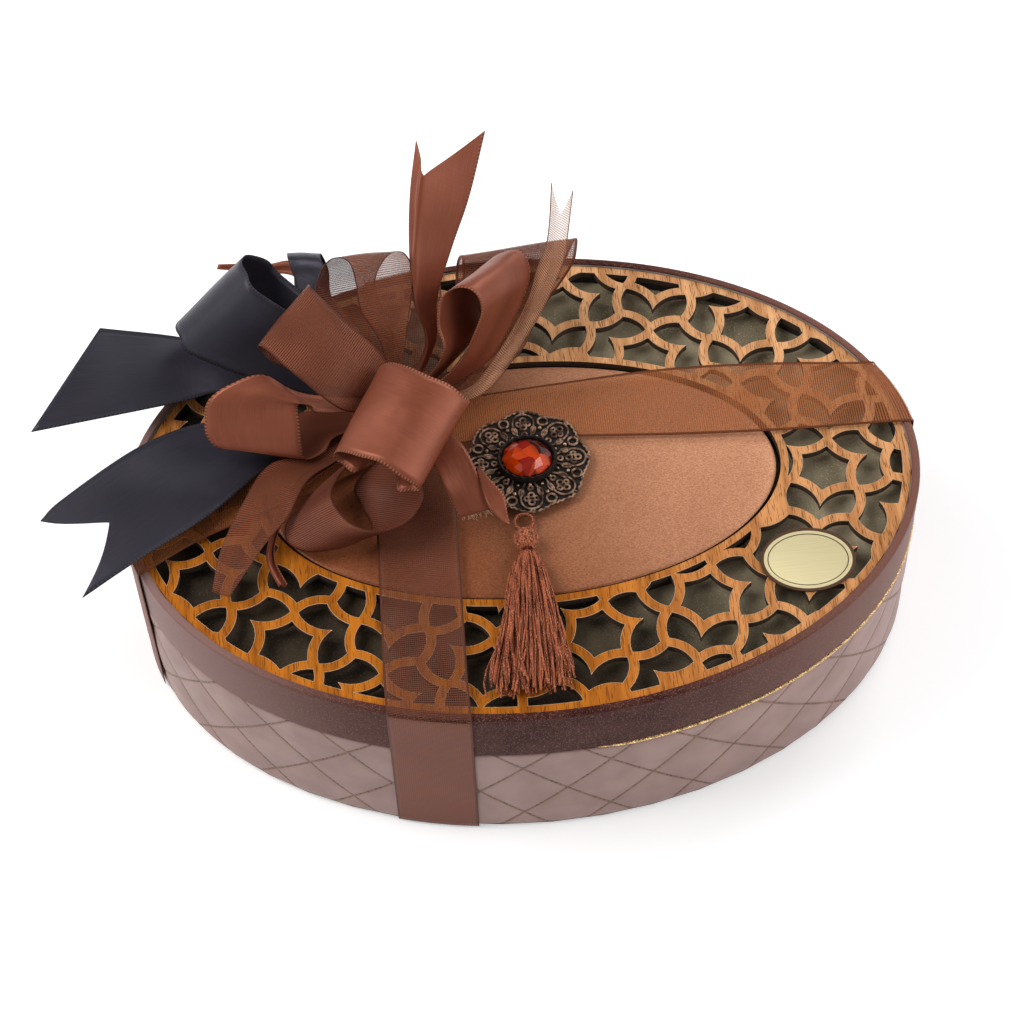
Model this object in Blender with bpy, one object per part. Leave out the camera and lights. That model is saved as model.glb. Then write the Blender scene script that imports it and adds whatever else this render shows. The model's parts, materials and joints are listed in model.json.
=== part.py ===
"""An oval gift box for chocolates: a covered base, a lift-off lid with a cut wood fretwork ring
round a padded satin centre, two wrapped ribbons, a many-looped bow, a brooch and a tassel.

Metres, +Z up. The long axis is X, the box stands on z = 0 and the origin is the centre of its underside.
"""

import math

import bmesh
import bpy
import numpy as np
from mathutils import Matrix

# Whole box
BOX_HALF_LENGTH = 0.1500
BOX_HALF_WIDTH = 0.1067
GAP = 0.0003
NO_INSET = 0.0
GROUND = 0.0
OVAL_STEPS = 64
HIDDEN_STEPS = 48
SHARP_ANGLE = math.radians(32)

# Layers from the outside in
COVER_THICKNESS = 0.0008
WALL_THICKNESS = 0.0020
COLLAR_THICKNESS = 0.0015
WALL_OUTER_INSET = COVER_THICKNESS + GAP
WALL_INNER_INSET = WALL_OUTER_INSET + WALL_THICKNESS
COLLAR_OUTER_INSET = WALL_INNER_INSET + GAP
COLLAR_INNER_INSET = COLLAR_OUTER_INSET + COLLAR_THICKNESS
LINING_INSET = COLLAR_INNER_INSET + GAP
PAPER_INSET = COVER_THICKNESS

# Base, from the ground up
PAPER_THICKNESS = 0.0005
TONGUE_THICKNESS = 0.0004
FLOOR_THICKNESS = 0.0020
LINING_THICKNESS = 0.0004
PAD_SHEET_THICKNESS = 0.0020
BASE_HEIGHT = 0.0510
COLLAR_RISE = 0.0110
TONGUE_BOTTOM = PAPER_THICKNESS + GAP
TONGUE_TOP = TONGUE_BOTTOM + TONGUE_THICKNESS
BASE_BOTTOM = TONGUE_TOP + GAP
FLOOR_TOP = BASE_BOTTOM + FLOOR_THICKNESS
LINING_BOTTOM = FLOOR_TOP + GAP
LINING_TOP = LINING_BOTTOM + LINING_THICKNESS
PAD_SHEET_BOTTOM = LINING_TOP + GAP
PAD_SHEET_TOP = PAD_SHEET_BOTTOM + PAD_SHEET_THICKNESS
COLLAR_TOP = BASE_HEIGHT + COLLAR_RISE

# Gold cord in the joint
CORD_RADIUS = 0.0007
CORD_SIDES = 6
CORD_PROUD = 0.0003
CORD_CENTRE_INSET = CORD_RADIUS - CORD_PROUD
CORD_HEIGHT = BASE_HEIGHT + GAP + CORD_RADIUS

# Lid, from its lower edge up
LID_BAND_HEIGHT = 0.0250
LID_HEADROOM = 0.0046
TOP_BOARD_THICKNESS = 0.0020
SUEDE_THICKNESS = 0.0006
SPACER_HEIGHT = 0.0034
SPACER_WIDTH = 0.0025
WOOD_THICKNESS = 0.0030
RIM_EDGE_ROUND = 0.0012
RIM_INNER_ROUND = 0.0005
LID_BOTTOM = CORD_HEIGHT + CORD_RADIUS + GAP
LID_TOP = LID_BOTTOM + LID_BAND_HEIGHT
RIM_FLANGE_BOTTOM = LID_TOP - COVER_THICKNESS
LID_WALL_TOP = RIM_FLANGE_BOTTOM - GAP
TOP_BOARD_BOTTOM = COLLAR_TOP + LID_HEADROOM
TOP_BOARD_TOP = TOP_BOARD_BOTTOM + TOP_BOARD_THICKNESS
SUEDE_BOTTOM = TOP_BOARD_TOP + GAP
SUEDE_TOP = SUEDE_BOTTOM + SUEDE_THICKNESS
SPACER_BOTTOM = SUEDE_TOP + GAP
SPACER_TOP = SPACER_BOTTOM + SPACER_HEIGHT
WOOD_BOTTOM = SPACER_TOP + GAP
WOOD_TOP = WOOD_BOTTOM + WOOD_THICKNESS

# Fretwork ring
WOOD_CLEARANCE = 0.0004
WOOD_OUTER_INSET = WALL_INNER_INSET + WOOD_CLEARANCE
WOOD_OUTER = (BOX_HALF_LENGTH - WOOD_OUTER_INSET, BOX_HALF_WIDTH - WOOD_OUTER_INSET)
WOOD_INNER_HALF_LENGTH = 0.0978
WOOD_INNER_HALF_WIDTH = 0.0546
WOOD_INNER = (WOOD_INNER_HALF_LENGTH, WOOD_INNER_HALF_WIDTH)
WOOD_BORDER = 0.0030
BAND_WIDTH = 0.0036
CUTTER_OVERRUN = 0.0010
LATTICE_PITCH = 0.0426
LATTICE_ANGLE = math.radians(15.7)
LATTICE_REACH = 6
ARC_STEPS = 2
# Shares of the lattice pitch: where one star stands, and the radii that shape the openings.
STAR_PLACE_SHARES = (0.490, -1.700)
STAR_ARC_SHARE = 0.343
SWIRL_ARC_SHARE = 0.305
CROSSING_SHARE = 0.3615
SMALLEST_OPENING_SHARE = 0.010
STAR_ARC_RADIUS = LATTICE_PITCH * STAR_ARC_SHARE
SWIRL_ARC_RADIUS = LATTICE_PITCH * SWIRL_ARC_SHARE
CROSSING_RADIUS = LATTICE_PITCH * CROSSING_SHARE
SMALLEST_OPENING_AREA = LATTICE_PITCH ** 2 * SMALLEST_OPENING_SHARE

# Padded centre
CENTRE_BOARD_THICKNESS = 0.0020
CENTRE_CLEARANCE = 0.0015
FOAM_THICKNESS = 0.0010
FOAM_INSET = 0.0020
SATIN_CLEARANCE = 0.0019
SATIN_CROWN = 0.0031
CENTRE_BOARD_TOP = SPACER_BOTTOM + CENTRE_BOARD_THICKNESS
FOAM_BOTTOM = CENTRE_BOARD_TOP + GAP
FOAM_TOP = FOAM_BOTTOM + FOAM_THICKNESS
SATIN_BOTTOM = FOAM_TOP + GAP
# Share of the half size, share of the crown.
SATIN_PROFILE_SHARES = [
    (0.975, 0.00),
    (1.000, 0.14),
    (0.994, 0.36),
    (0.975, 0.55),
    (0.90, 0.72),
    (0.72, 0.87),
    (0.40, 1.00),
]

# Label
LABEL_PLACE_SHARES = (0.672, -0.459)
LABEL_HALF_LENGTH = 0.0175
LABEL_HALF_WIDTH = 0.0140
LABEL_THICKNESS = 0.0005
LABEL_STEPS = 40
LABEL_TURN = math.radians(-2.0)
LABEL_BOTTOM = WOOD_TOP + GAP

# Wrapped ribbons
WRAP_THICKNESS = 0.0003
WRAP_WIDTH = 0.0300
WRAP_ACROSS = 4
WRAP_BEND = 0.0018
WRAP_WALL_GAP = CORD_PROUD + GAP + WRAP_THICKNESS / 2
WRAP_FOOT = BASE_BOTTOM
LONG_RIBBON_HEIGHT = LID_TOP + GAP + WRAP_THICKNESS / 2
CROSS_RIBBON_HEIGHT = LONG_RIBBON_HEIGHT + WRAP_THICKNESS + GAP
WRAP_BEND_SHARES = [(0.0, 1.6), (0.28, 0.39), (1.0, 0.0)]
WRAP_WALL_SHARES = [0.0, 0.24, 0.50, 0.76]
# Crosswise ribbon: its centre at the front and at the back as shares of the half length, and the
# places of its rows on the lid as shares of the half width.
CROSS_FRONT_SHARE = -0.283
CROSS_BACK_SHARE = -0.258
CROSS_ROW_SHARES = [-0.80, -0.52, -0.23, 0.05, 0.25, 0.47, 0.75]
# Lengthwise ribbon: its centre at the left and right ends as shares of the half width. Each row on the
# lid has its place, as a share of the half length, and its two edges, as shares of the half width.
LONG_LEFT_SHARE = -0.145
LONG_RIGHT_SHARE = 0.224
LONG_ROW_SHARES = [
    (-0.800, -0.160, 0.122),
    (-0.600, -0.047, 0.216),
    (-0.400, 0.075, 0.300),
    (-0.267, 0.141, 0.347),
    (-0.067, 0.159, 0.366),
    (0.100, 0.148, 0.386),
    (0.400, 0.112, 0.412),
    (0.667, 0.092, 0.398),
    (0.867, 0.088, 0.370),
]
TONGUE_LENGTH = 0.0240

# Bow
KNOT_PLACE_SHARES = (-0.273, 0.253)
KNOT_HALF_WIDTH = 0.0088
KNOT_HALF_HEIGHT = 0.0070
BOW_REACH = 0.1000
BOW_THICKNESS = 0.0003
STEPS_PER_STATION = 2
NO_FORK_SHARE = 0.0
DEEP_FORK_SHARE = 0.85
KNOT_CENTRE = (
    BOX_HALF_LENGTH * KNOT_PLACE_SHARES[0],
    BOX_HALF_WIDTH * KNOT_PLACE_SHARES[1],
    CROSS_RIBBON_HEIGHT + WRAP_THICKNESS / 2 + GAP + KNOT_HALF_HEIGHT,
)
# Each bow ribbon: pairs of points on its two edges, from the knot outward, and for a loop back again.
# They are measured from the knot's centre, as shares of the bow's reach.
TAIL_UP_SHARES = [
    ((-0.01, 0.08, 0.04), (0.03, 0.07, 0.04)),
    ((0.09, 0.20, 0.16), (0.13, 0.21, 0.16)),
    ((0.06, 0.30, 0.30), (0.15, 0.32, 0.28)),
    ((0.06, 0.41, 0.46), (0.22, 0.44, 0.42)),
    ((0.08, 0.54, 0.62), (0.30, 0.56, 0.56)),
    ((0.12, 0.68, 0.76), (0.38, 0.72, 0.74)),
]
LOOP_RIGHT_SHARES = [
    ((0.04, 0.08, -0.02), (0.04, 0.08, 0.02)),
    ((0.29, 0.26, 0.12), (0.15, 0.09, 0.22)),
    ((0.31, 0.37, 0.20), (0.14, 0.15, 0.32)),
    ((0.35, 0.48, 0.26), (0.16, 0.21, 0.40)),
    ((0.43, 0.52, 0.28), (0.22, 0.24, 0.42)),
    ((0.49, 0.51, 0.28), (0.28, 0.22, 0.42)),
    ((0.51, 0.44, 0.22), (0.31, 0.18, 0.36)),
    ((0.44, 0.31, 0.14), (0.27, 0.12, 0.28)),
    ((0.31, 0.16, 0.06), (0.20, 0.08, 0.16)),
    ((0.07, 0.05, 0.01), (0.06, 0.04, 0.05)),
]
TAIL_ORGANZA_RIGHT_SHARES = [
    ((0.14, 0.02, 0.04), (0.15, -0.03, 0.04)),
    ((0.26, 0.00, 0.14), (0.31, 0.00, 0.10)),
    ((0.46, 0.21, 0.28), (0.49, 0.16, 0.24)),
    ((0.53, 0.33, 0.38), (0.58, 0.26, 0.34)),
    ((0.58, 0.42, 0.46), (0.64, 0.37, 0.42)),
    ((0.61, 0.56, 0.60), (0.69, 0.55, 0.56)),
]
LOOP_ORGANZA_RIGHT_SHARES = [
    ((0.07, 0.06, -0.01), (0.08, 0.03, -0.01)),
    ((0.25, 0.23, 0.04), (0.41, 0.17, 0.04)),
    ((0.22, 0.41, 0.08), (0.54, 0.35, 0.10)),
    ((0.23, 0.53, 0.14), (0.67, 0.46, 0.22)),
    ((0.24, 0.56, 0.20), (0.70, 0.52, 0.26)),
    ((0.26, 0.61, 0.16), (0.70, 0.60, 0.22)),
    ((0.26, 0.54, 0.04), (0.60, 0.48, 0.10)),
    ((0.28, 0.36, -0.02), (0.42, 0.31, 0.00)),
    ((0.05, 0.05, -0.04), (0.07, 0.02, -0.04)),
]
LOOP_CENTRE_SHARES = [
    ((0.04, -0.10, 0.06), (0.02, -0.12, 0.04)),
    ((0.15, -0.17, 0.28), (-0.06, -0.48, 0.20)),
    ((0.21, -0.20, 0.29), (-0.01, -0.52, 0.22)),
    ((0.23, -0.22, 0.32), (0.02, -0.54, 0.24)),
    ((0.21, -0.23, 0.37), (0.00, -0.54, 0.28)),
    ((0.16, -0.20, 0.41), (-0.05, -0.52, 0.32)),
    ((0.09, -0.17, 0.43), (-0.11, -0.48, 0.35)),
    ((0.02, -0.12, 0.43), (-0.18, -0.44, 0.34)),
    ((-0.04, -0.07, 0.40), (-0.24, -0.39, 0.31)),
    ((-0.08, -0.04, 0.35), (-0.27, -0.36, 0.27)),
    ((-0.08, -0.02, 0.30), (-0.28, -0.35, 0.22)),
    ((-0.05, -0.04, 0.28), (-0.25, -0.36, 0.20)),
    ((0.01, -0.07, 0.27), (-0.19, -0.39, 0.19)),
    ((-0.05, -0.08, 0.08), (-0.06, -0.11, 0.06)),
]
LOOP_LEFT_SHARES = [
    ((-0.06, 0.03, 0.04), (-0.07, -0.01, 0.04)),
    ((-0.38, -0.02, 0.20), (-0.32, -0.09, 0.16)),
    ((-0.52, 0.02, 0.28), (-0.35, -0.10, 0.22)),
    ((-0.65, 0.00, 0.26), (-0.39, -0.10, 0.24)),
    ((-0.73, -0.03, 0.22), (-0.40, -0.10, 0.22)),
    ((-0.75, -0.06, 0.16), (-0.40, -0.15, 0.18)),
    ((-0.75, -0.11, 0.10), (-0.40, -0.20, 0.12)),
    ((-0.69, -0.14, 0.06), (-0.39, -0.22, 0.06)),
    ((-0.53, -0.06, 0.02), (-0.32, -0.18, 0.04)),
    ((-0.39, 0.03, 0.02), (-0.27, -0.11, 0.04)),
    ((-0.09, 0.01, -0.01), (-0.08, -0.03, -0.01)),
]
LOOP_ORGANZA_LEFT_SHARES = [
    ((-0.03, 0.05, 0.05), (-0.06, 0.02, 0.05)),
    ((-0.07, 0.04, 0.30), (-0.22, -0.17, 0.26)),
    ((-0.20, 0.13, 0.42), (-0.38, -0.09, 0.38)),
    ((-0.30, 0.23, 0.48), (-0.49, 0.02, 0.42)),
    ((-0.32, 0.28, 0.46), (-0.52, 0.06, 0.40)),
    ((-0.33, 0.30, 0.40), (-0.52, 0.09, 0.34)),
    ((-0.27, 0.27, 0.30), (-0.44, 0.06, 0.26)),
    ((-0.06, 0.06, 0.03), (-0.08, 0.02, 0.03)),
]
LOOP_ORGANZA_TOP_SHARES = [
    ((-0.04, 0.08, 0.00), (-0.01, 0.09, 0.00)),
    ((-0.16, 0.29, 0.12), (-0.03, 0.30, 0.12)),
    ((-0.30, 0.43, 0.20), (-0.08, 0.45, 0.22)),
    ((-0.28, 0.48, 0.30), (-0.04, 0.49, 0.32)),
    ((-0.23, 0.47, 0.38), (0.01, 0.46, 0.40)),
    ((-0.17, 0.41, 0.42), (0.05, 0.40, 0.44)),
    ((-0.15, 0.33, 0.38), (0.07, 0.34, 0.40)),
    ((-0.14, 0.25, 0.32), (0.05, 0.26, 0.34)),
    ((-0.08, 0.16, 0.24), (0.02, 0.16, 0.26)),
    ((-0.04, 0.05, 0.05), (-0.02, 0.06, 0.05)),
]
LOOP_FRONT_SHARES = [
    ((-0.06, -0.06, 0.01), (-0.04, -0.08, 0.01)),
    ((-0.33, -0.29, 0.00), (-0.23, -0.26, 0.06)),
    ((-0.42, -0.37, -0.02), (-0.29, -0.36, 0.08)),
    ((-0.48, -0.44, -0.03), (-0.30, -0.44, 0.10)),
    ((-0.48, -0.52, -0.04), (-0.27, -0.50, 0.08)),
    ((-0.40, -0.57, -0.04), (-0.22, -0.56, 0.08)),
    ((-0.25, -0.55, -0.05), (-0.13, -0.59, 0.08)),
    ((-0.17, -0.48, -0.06), (-0.03, -0.54, 0.06)),
    ((-0.20, -0.37, -0.06), (0.03, -0.45, 0.06)),
    ((-0.21, -0.27, -0.04), (0.03, -0.34, 0.04)),
    ((0.00, -0.09, 0.00), (0.03, -0.08, 0.00)),
]
TAIL_ORGANZA_LEFT_SHARES = [
    ((-0.09, -0.01, -0.02), (-0.07, -0.05, -0.02)),
    ((-0.35, -0.16, 0.02), (-0.29, -0.22, 0.02)),
    ((-0.53, -0.22, 0.04), (-0.39, -0.31, 0.04)),
    ((-0.64, -0.40, 0.04), (-0.47, -0.45, 0.02)),
    ((-0.72, -0.57, 0.02), (-0.56, -0.55, 0.00)),
    ((-0.76, -0.72, -0.02), (-0.70, -0.74, -0.04)),
]
TAIL_CURL_SHARES = [
    ((-0.07, -0.03, -0.04), (-0.06, -0.04, -0.04)),
    ((-0.38, -0.18, -0.06), (-0.35, -0.21, -0.06)),
    ((-0.49, -0.31, -0.06), (-0.46, -0.33, -0.06)),
    ((-0.54, -0.45, -0.06), (-0.52, -0.48, -0.06)),
    ((-0.56, -0.58, -0.06), (-0.53, -0.58, -0.06)),
    ((-0.52, -0.70, -0.06), (-0.49, -0.69, -0.06)),
]
TAIL_RIGHT_SHARES = [
    ((0.08, -0.09, 0.04), (0.05, -0.12, 0.04)),
    ((0.19, -0.24, 0.10), (0.09, -0.36, 0.10)),
    ((0.26, -0.43, 0.06), (0.13, -0.46, 0.06)),
    ((0.30, -0.50, 0.04), (0.16, -0.52, 0.02)),
]
TAIL_BROWN_BACK_SHARES = [
    ((-0.01, 0.06, -0.05), (0.01, 0.06, -0.05)),
    ((-0.34, 0.68, -0.04), (-0.33, 0.76, -0.02)),
    ((-0.53, 0.73, 0.02), (-0.51, 0.79, 0.02)),
    ((-0.70, 0.74, 0.06), (-0.69, 0.77, 0.06)),
]
LOOP_BLACK_SHARES = [
    ((-0.09, 0.01, 0.00), (-0.08, 0.05, 0.00)),
    ((-0.35, 0.08, 0.05), (-0.21, 0.14, 0.16)),
    ((-0.58, 0.15, 0.10), (-0.35, 0.23, 0.30)),
    ((-0.80, 0.24, 0.17), (-0.52, 0.31, 0.42)),
    ((-0.83, 0.30, 0.19), (-0.55, 0.38, 0.44)),
    ((-0.85, 0.36, 0.18), (-0.57, 0.45, 0.42)),
    ((-0.84, 0.42, 0.15), (-0.56, 0.52, 0.38)),
    ((-0.82, 0.45, 0.10), (-0.53, 0.56, 0.33)),
    ((-0.78, 0.46, 0.05), (-0.48, 0.58, 0.27)),
    ((-0.73, 0.44, 0.00), (-0.44, 0.56, 0.21)),
    ((-0.56, 0.31, -0.02), (-0.30, 0.42, 0.16)),
    ((-0.35, 0.17, -0.04), (-0.18, 0.26, 0.08)),
    ((-0.07, 0.03, -0.03), (-0.06, 0.05, -0.03)),
]
LOOP_BLACK_BACK_SHARES = [
    ((-0.02, 0.07, -0.04), (-0.04, 0.06, -0.04)),
    ((-0.24, 0.54, 0.00), (-0.36, 0.54, 0.00)),
    ((-0.26, 0.67, 0.08), (-0.40, 0.70, 0.06)),
    ((-0.28, 0.67, 0.18), (-0.41, 0.72, 0.14)),
    ((-0.28, 0.59, 0.24), (-0.41, 0.63, 0.22)),
    ((-0.26, 0.53, 0.22), (-0.39, 0.56, 0.18)),
    ((-0.24, 0.41, 0.12), (-0.35, 0.42, 0.10)),
    ((-0.02, 0.08, -0.01), (-0.05, 0.07, -0.01)),
]
TAIL_BLACK_UPPER_SHARES = [
    ((-0.04, 0.04, -0.05), (-0.06, 0.02, -0.05)),
    ((-0.40, 0.30, -0.06), (-0.46, 0.16, -0.06)),
    ((-0.67, 0.42, -0.04), (-0.69, 0.21, -0.04)),
    ((-0.86, 0.45, 0.02), (-0.89, 0.14, 0.00)),
    ((-1.15, 0.46, 0.10), (-1.41, 0.00, 0.08)),
]
TAIL_BLACK_LOWER_SHARES = [
    ((-0.06, 0.01, -0.05), (-0.06, -0.02, -0.05)),
    ((-0.41, 0.09, -0.06), (-0.34, -0.05, -0.06)),
    ((-0.78, 0.05, -0.02), (-0.51, -0.14, -0.04)),
    ((-1.02, -0.07, 0.02), (-0.75, -0.37, -0.02)),
    ((-1.30, -0.28, 0.02), (-1.04, -0.58, 0.00)),
    ((-1.38, -0.37, 0.02), (-1.23, -0.70, -0.02)),
]

# Brooch
BROOCH_PLACE_SHARES = (0.016, 0.042)
BROOCH_RADIUS = 0.0240
BROOCH_THICKNESS = 0.0014
BROOCH_PETALS = 8
BROOCH_OUTLINE_STEPS = 48
HOLE_STEPS = 8
# Shares of the brooch's radius.
SCALLOP_SHARE = 0.055
PETAL_HOLE_SHARES = (0.63, 0.175, 0.10)
RING_HOLE_SHARES = (0.82, 0.063, 0.063)
STONE_HALF_LENGTH = 0.0098
STONE_HALF_WIDTH = 0.0078
STONE_HEIGHT = 0.0050
STONE_STEPS = 16
# Share of the half size, share of the stone's height.
STONE_PROFILE_SHARES = [(0.90, 0.0), (1.00, 0.32), (0.88, 0.68), (0.55, 1.0)]
BEZEL_WALL = 0.0016
BEZEL_HEIGHT = 0.0027
BEZEL_STEPS = 32
PAD_RADIUS = 0.0075
PAD_DROP = 0.0045
PAD_STEPS = 20
BROOCH_CENTRE = (BOX_HALF_LENGTH * BROOCH_PLACE_SHARES[0], BOX_HALF_WIDTH * BROOCH_PLACE_SHARES[1])
BROOCH_BOTTOM = LONG_RIBBON_HEIGHT + WRAP_THICKNESS / 2 + GAP
BROOCH_TOP = BROOCH_BOTTOM + BROOCH_THICKNESS
STONE_BOTTOM = BROOCH_TOP + GAP
PAD_BOTTOM = SATIN_BOTTOM + SATIN_CROWN + GAP
PAD_TOP = BROOCH_BOTTOM - GAP

# Tassel
TASSEL_LOOP_RADIUS = 0.0035
TASSEL_CORD_RADIUS = 0.0007
TASSEL_LOOP_STEPS = 16
TASSEL_LOOP_ANGLE = math.radians(-98)
TASSEL_CORD_SIDES = 5
TASSEL_HEAD_RADIUS = 0.0046
TASSEL_LENGTH = 0.0605
TASSEL_HALF_WIDTH = 0.0166
TASSEL_HALF_HEIGHT = 0.0044
TASSEL_SWAY = 0.0040
TASSEL_SIDES = 16
# Share of the skirt's length, of its half width and of its half height.
TASSEL_SKIRT_SHARES = [
    (0.00, 0.17, 0.60),
    (0.04, 0.27, 0.92),
    (0.16, 0.42, 1.00),
    (0.39, 0.60, 0.98),
    (0.66, 0.80, 0.90),
    (0.86, 0.95, 0.80),
    (1.00, 1.00, 0.66),
]
TASSEL_LOOP_DISTANCE = GAP + TASSEL_LOOP_RADIUS + TASSEL_CORD_RADIUS + BROOCH_RADIUS * (
    1 - SCALLOP_SHARE * (1 - math.cos(BROOCH_PETALS * TASSEL_LOOP_ANGLE))
)
TASSEL_LOOP_CENTRE = (
    BROOCH_CENTRE[0] + TASSEL_LOOP_DISTANCE * math.cos(TASSEL_LOOP_ANGLE),
    BROOCH_CENTRE[1] + TASSEL_LOOP_DISTANCE * math.sin(TASSEL_LOOP_ANGLE),
    BROOCH_BOTTOM + BROOCH_THICKNESS / 2,
)
TASSEL_HEAD_CENTRE = (
    TASSEL_LOOP_CENTRE[0],
    TASSEL_LOOP_CENTRE[1] - TASSEL_LOOP_RADIUS - TASSEL_CORD_RADIUS - GAP - TASSEL_HEAD_RADIUS,
    SATIN_BOTTOM + SATIN_CROWN + GAP + TASSEL_HEAD_RADIUS,
)
SKIRT_START = TASSEL_HEAD_CENTRE[1] - TASSEL_HEAD_RADIUS - GAP


def clear_scene():
    for obj in list(bpy.data.objects):
        bpy.data.objects.remove(obj)


def material(name, colour, roughness, metallic):
    made = bpy.data.materials.new(name)
    made.use_nodes = True
    shader = made.node_tree.nodes["Principled BSDF"]
    shader.inputs["Base Color"].default_value = (*colour, 1.0)
    shader.inputs["Roughness"].default_value = roughness
    shader.inputs["Metallic"].default_value = metallic
    made.diffuse_color = (*colour, 1.0)
    return made


def paper_look():
    return material("kraft_paper", (0.30, 0.20, 0.13), 0.8, 0.0)


def board_look():
    return material("grey_board", (0.35, 0.32, 0.28), 0.9, 0.0)


def quilt_look():
    return material("quilted_cover", (0.24, 0.17, 0.15), 0.45, 0.0)


def rim_look():
    return material("mauve_brown_cover", (0.16, 0.09, 0.075), 0.4, 0.3)


def suede_look():
    return material("olive_suede", (0.09, 0.085, 0.045), 0.7, 0.2)


def wood_look():
    return material("wood_veneer", (0.55, 0.25, 0.09), 0.5, 0.0)


def satin_look():
    return material("copper_satin", (0.36, 0.17, 0.09), 0.35, 0.0)


def foam_look():
    return material("foam", (0.7, 0.68, 0.62), 0.9, 0.0)


def gold_look():
    return material("gold_cord", (0.72, 0.50, 0.20), 0.35, 0.8)


def pad_look():
    return material("pad_sheet", (0.60, 0.50, 0.36), 0.8, 0.0)


def label_look():
    return material("label", (0.75, 0.62, 0.32), 0.35, 0.6)


def sheer_look():
    return material("sheer_brown_ribbon", (0.22, 0.07, 0.035), 0.45, 0.0)


def ribbon_look():
    return material("brown_satin_ribbon", (0.20, 0.065, 0.035), 0.35, 0.0)


def black_look():
    return material("black_satin_ribbon", (0.018, 0.018, 0.024), 0.35, 0.0)


def bronze_look():
    return material("dark_bronze", (0.16, 0.10, 0.07), 0.4, 0.9)


def stone_look():
    return material("amber_stone", (0.75, 0.06, 0.01), 0.05, 0.0)


def glue_look():
    return material("glue_pad", (0.8, 0.78, 0.7), 0.6, 0.0)


def tassel_look():
    return material("tassel_thread", (0.25, 0.08, 0.045), 0.55, 0.0)


def mesh_object(name, points, faces, look, smooth):
    """A mesh object in the scene with its faces turned outward."""
    mesh = bpy.data.meshes.new(name)
    mesh.from_pydata([tuple(point) for point in points], [], faces)
    builder = bmesh.new()
    builder.from_mesh(mesh)
    bmesh.ops.recalc_face_normals(builder, faces=builder.faces)
    for edge in builder.edges:
        if len(edge.link_faces) == 2 and edge.calc_face_angle() > SHARP_ANGLE:
            edge.smooth = False
    for face in builder.faces:
        face.smooth = smooth
    builder.to_mesh(mesh)
    builder.free()
    mesh.materials.append(look)
    made = bpy.data.objects.new(name, mesh)
    bpy.context.scene.collection.objects.link(made)
    return made


def oval_points(half_length, half_width, height, steps):
    points = []
    for step in range(steps):
        turn = math.tau * step / steps
        points.append((half_length * math.cos(turn), half_width * math.sin(turn), height))
    return points


def swept_oval(name, half_length, half_width, profile, look, steps, smooth):
    """A ring whose closed section, a list of (inset, height), follows the oval."""
    points = []
    faces = []
    for inset, height in profile:
        points += oval_points(half_length - inset, half_width - inset, height, steps)
    count = len(profile)
    for row in range(count):
        for step in range(steps):
            after = (step + 1) % steps
            above = (row + 1) % count
            here = row * steps
            over = above * steps
            faces.append((here + step, here + after, over + after, over + step))
    return mesh_object(name, points, faces, look, smooth)


def oval_ring(name, outer_inset, inner_inset, bottom, top, look):
    section = [(outer_inset, bottom), (outer_inset, top), (inner_inset, top), (inner_inset, bottom)]
    return swept_oval(name, BOX_HALF_LENGTH, BOX_HALF_WIDTH, section, look, HIDDEN_STEPS, True)


def stacked_ovals(name, layers, look, steps, smooth):
    """A solid of ovals stacked upward, with flat ends. A layer is (half length, half width, height)."""
    points = []
    faces = []
    for half_length, half_width, height in layers:
        points += oval_points(half_length, half_width, height, steps)
    for row in range(len(layers) - 1):
        for step in range(steps):
            after = (step + 1) % steps
            low = row * steps
            high = low + steps
            faces.append((low + step, low + after, high + after, high + step))
    faces.append(tuple(reversed(range(steps))))
    top = (len(layers) - 1) * steps
    faces.append(tuple(range(top, top + steps)))
    return mesh_object(name, points, faces, look, smooth)


def oval_plate(name, inset, bottom, top, look):
    half_length = BOX_HALF_LENGTH - inset
    half_width = BOX_HALF_WIDTH - inset
    layers = [(half_length, half_width, bottom), (half_length, half_width, top)]
    return stacked_ovals(name, layers, look, HIDDEN_STEPS, True)


def prism_mesh(outlines, bottom, top):
    """Points and faces of upright prisms over flat outlines."""
    points = []
    faces = []
    for outline in outlines:
        start = len(points)
        count = len(outline)
        points += [(x, y, bottom) for x, y in outline]
        points += [(x, y, top) for x, y in outline]
        faces.append(tuple(range(start, start + count))[::-1])
        faces.append(tuple(range(start + count, start + count + count)))
        for step in range(count):
            after = (step + 1) % count
            faces.append((start + step, start + after, start + count + after, start + count + step))
    return points, faces


def hide_helper(helper):
    helper.hide_render = True
    helper.display_type = "WIRE"


def boolean(target, cutter, operation, name):
    modifier = target.modifiers.new(name, "BOOLEAN")
    modifier.operation = operation
    modifier.solver = "EXACT"
    modifier.object = cutter
    return modifier


def turned(point, angle):
    return np.array([
        point[0] * math.cos(angle) - point[1] * math.sin(angle),
        point[0] * math.sin(angle) + point[1] * math.cos(angle),
    ])


def angle_of(centre, point):
    return math.atan2(point[1] - centre[1], point[0] - centre[0])


def arc(centre, start, end, steps):
    """Points on the arc round centre from start towards end, without the end."""
    radius = math.hypot(start[0] - centre[0], start[1] - centre[1])
    first = angle_of(centre, start)
    sweep = (angle_of(centre, end) - first + math.pi) % math.tau - math.pi
    points = []
    for step in range(steps):
        angle = first + sweep * step / steps
        across = radius * math.cos(angle)
        along = radius * math.sin(angle)
        points.append(np.array([centre[0] + across, centre[1] + along]))
    return points


def circles_meet(first, first_radius, second, second_radius, near):
    """The point where two circles cross, on the side of near."""
    across = second - first
    apart = math.hypot(*across)
    along = (first_radius ** 2 - second_radius ** 2 + apart ** 2) / (apart + apart)
    rise = math.sqrt(first_radius ** 2 - along ** 2)
    unit = across / apart
    side = np.array([-unit[1], unit[0]])
    both = [first + unit * along + side * rise, first + unit * along - side * rise]
    return min(both, key=lambda point: math.hypot(*(point - near)))


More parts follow.
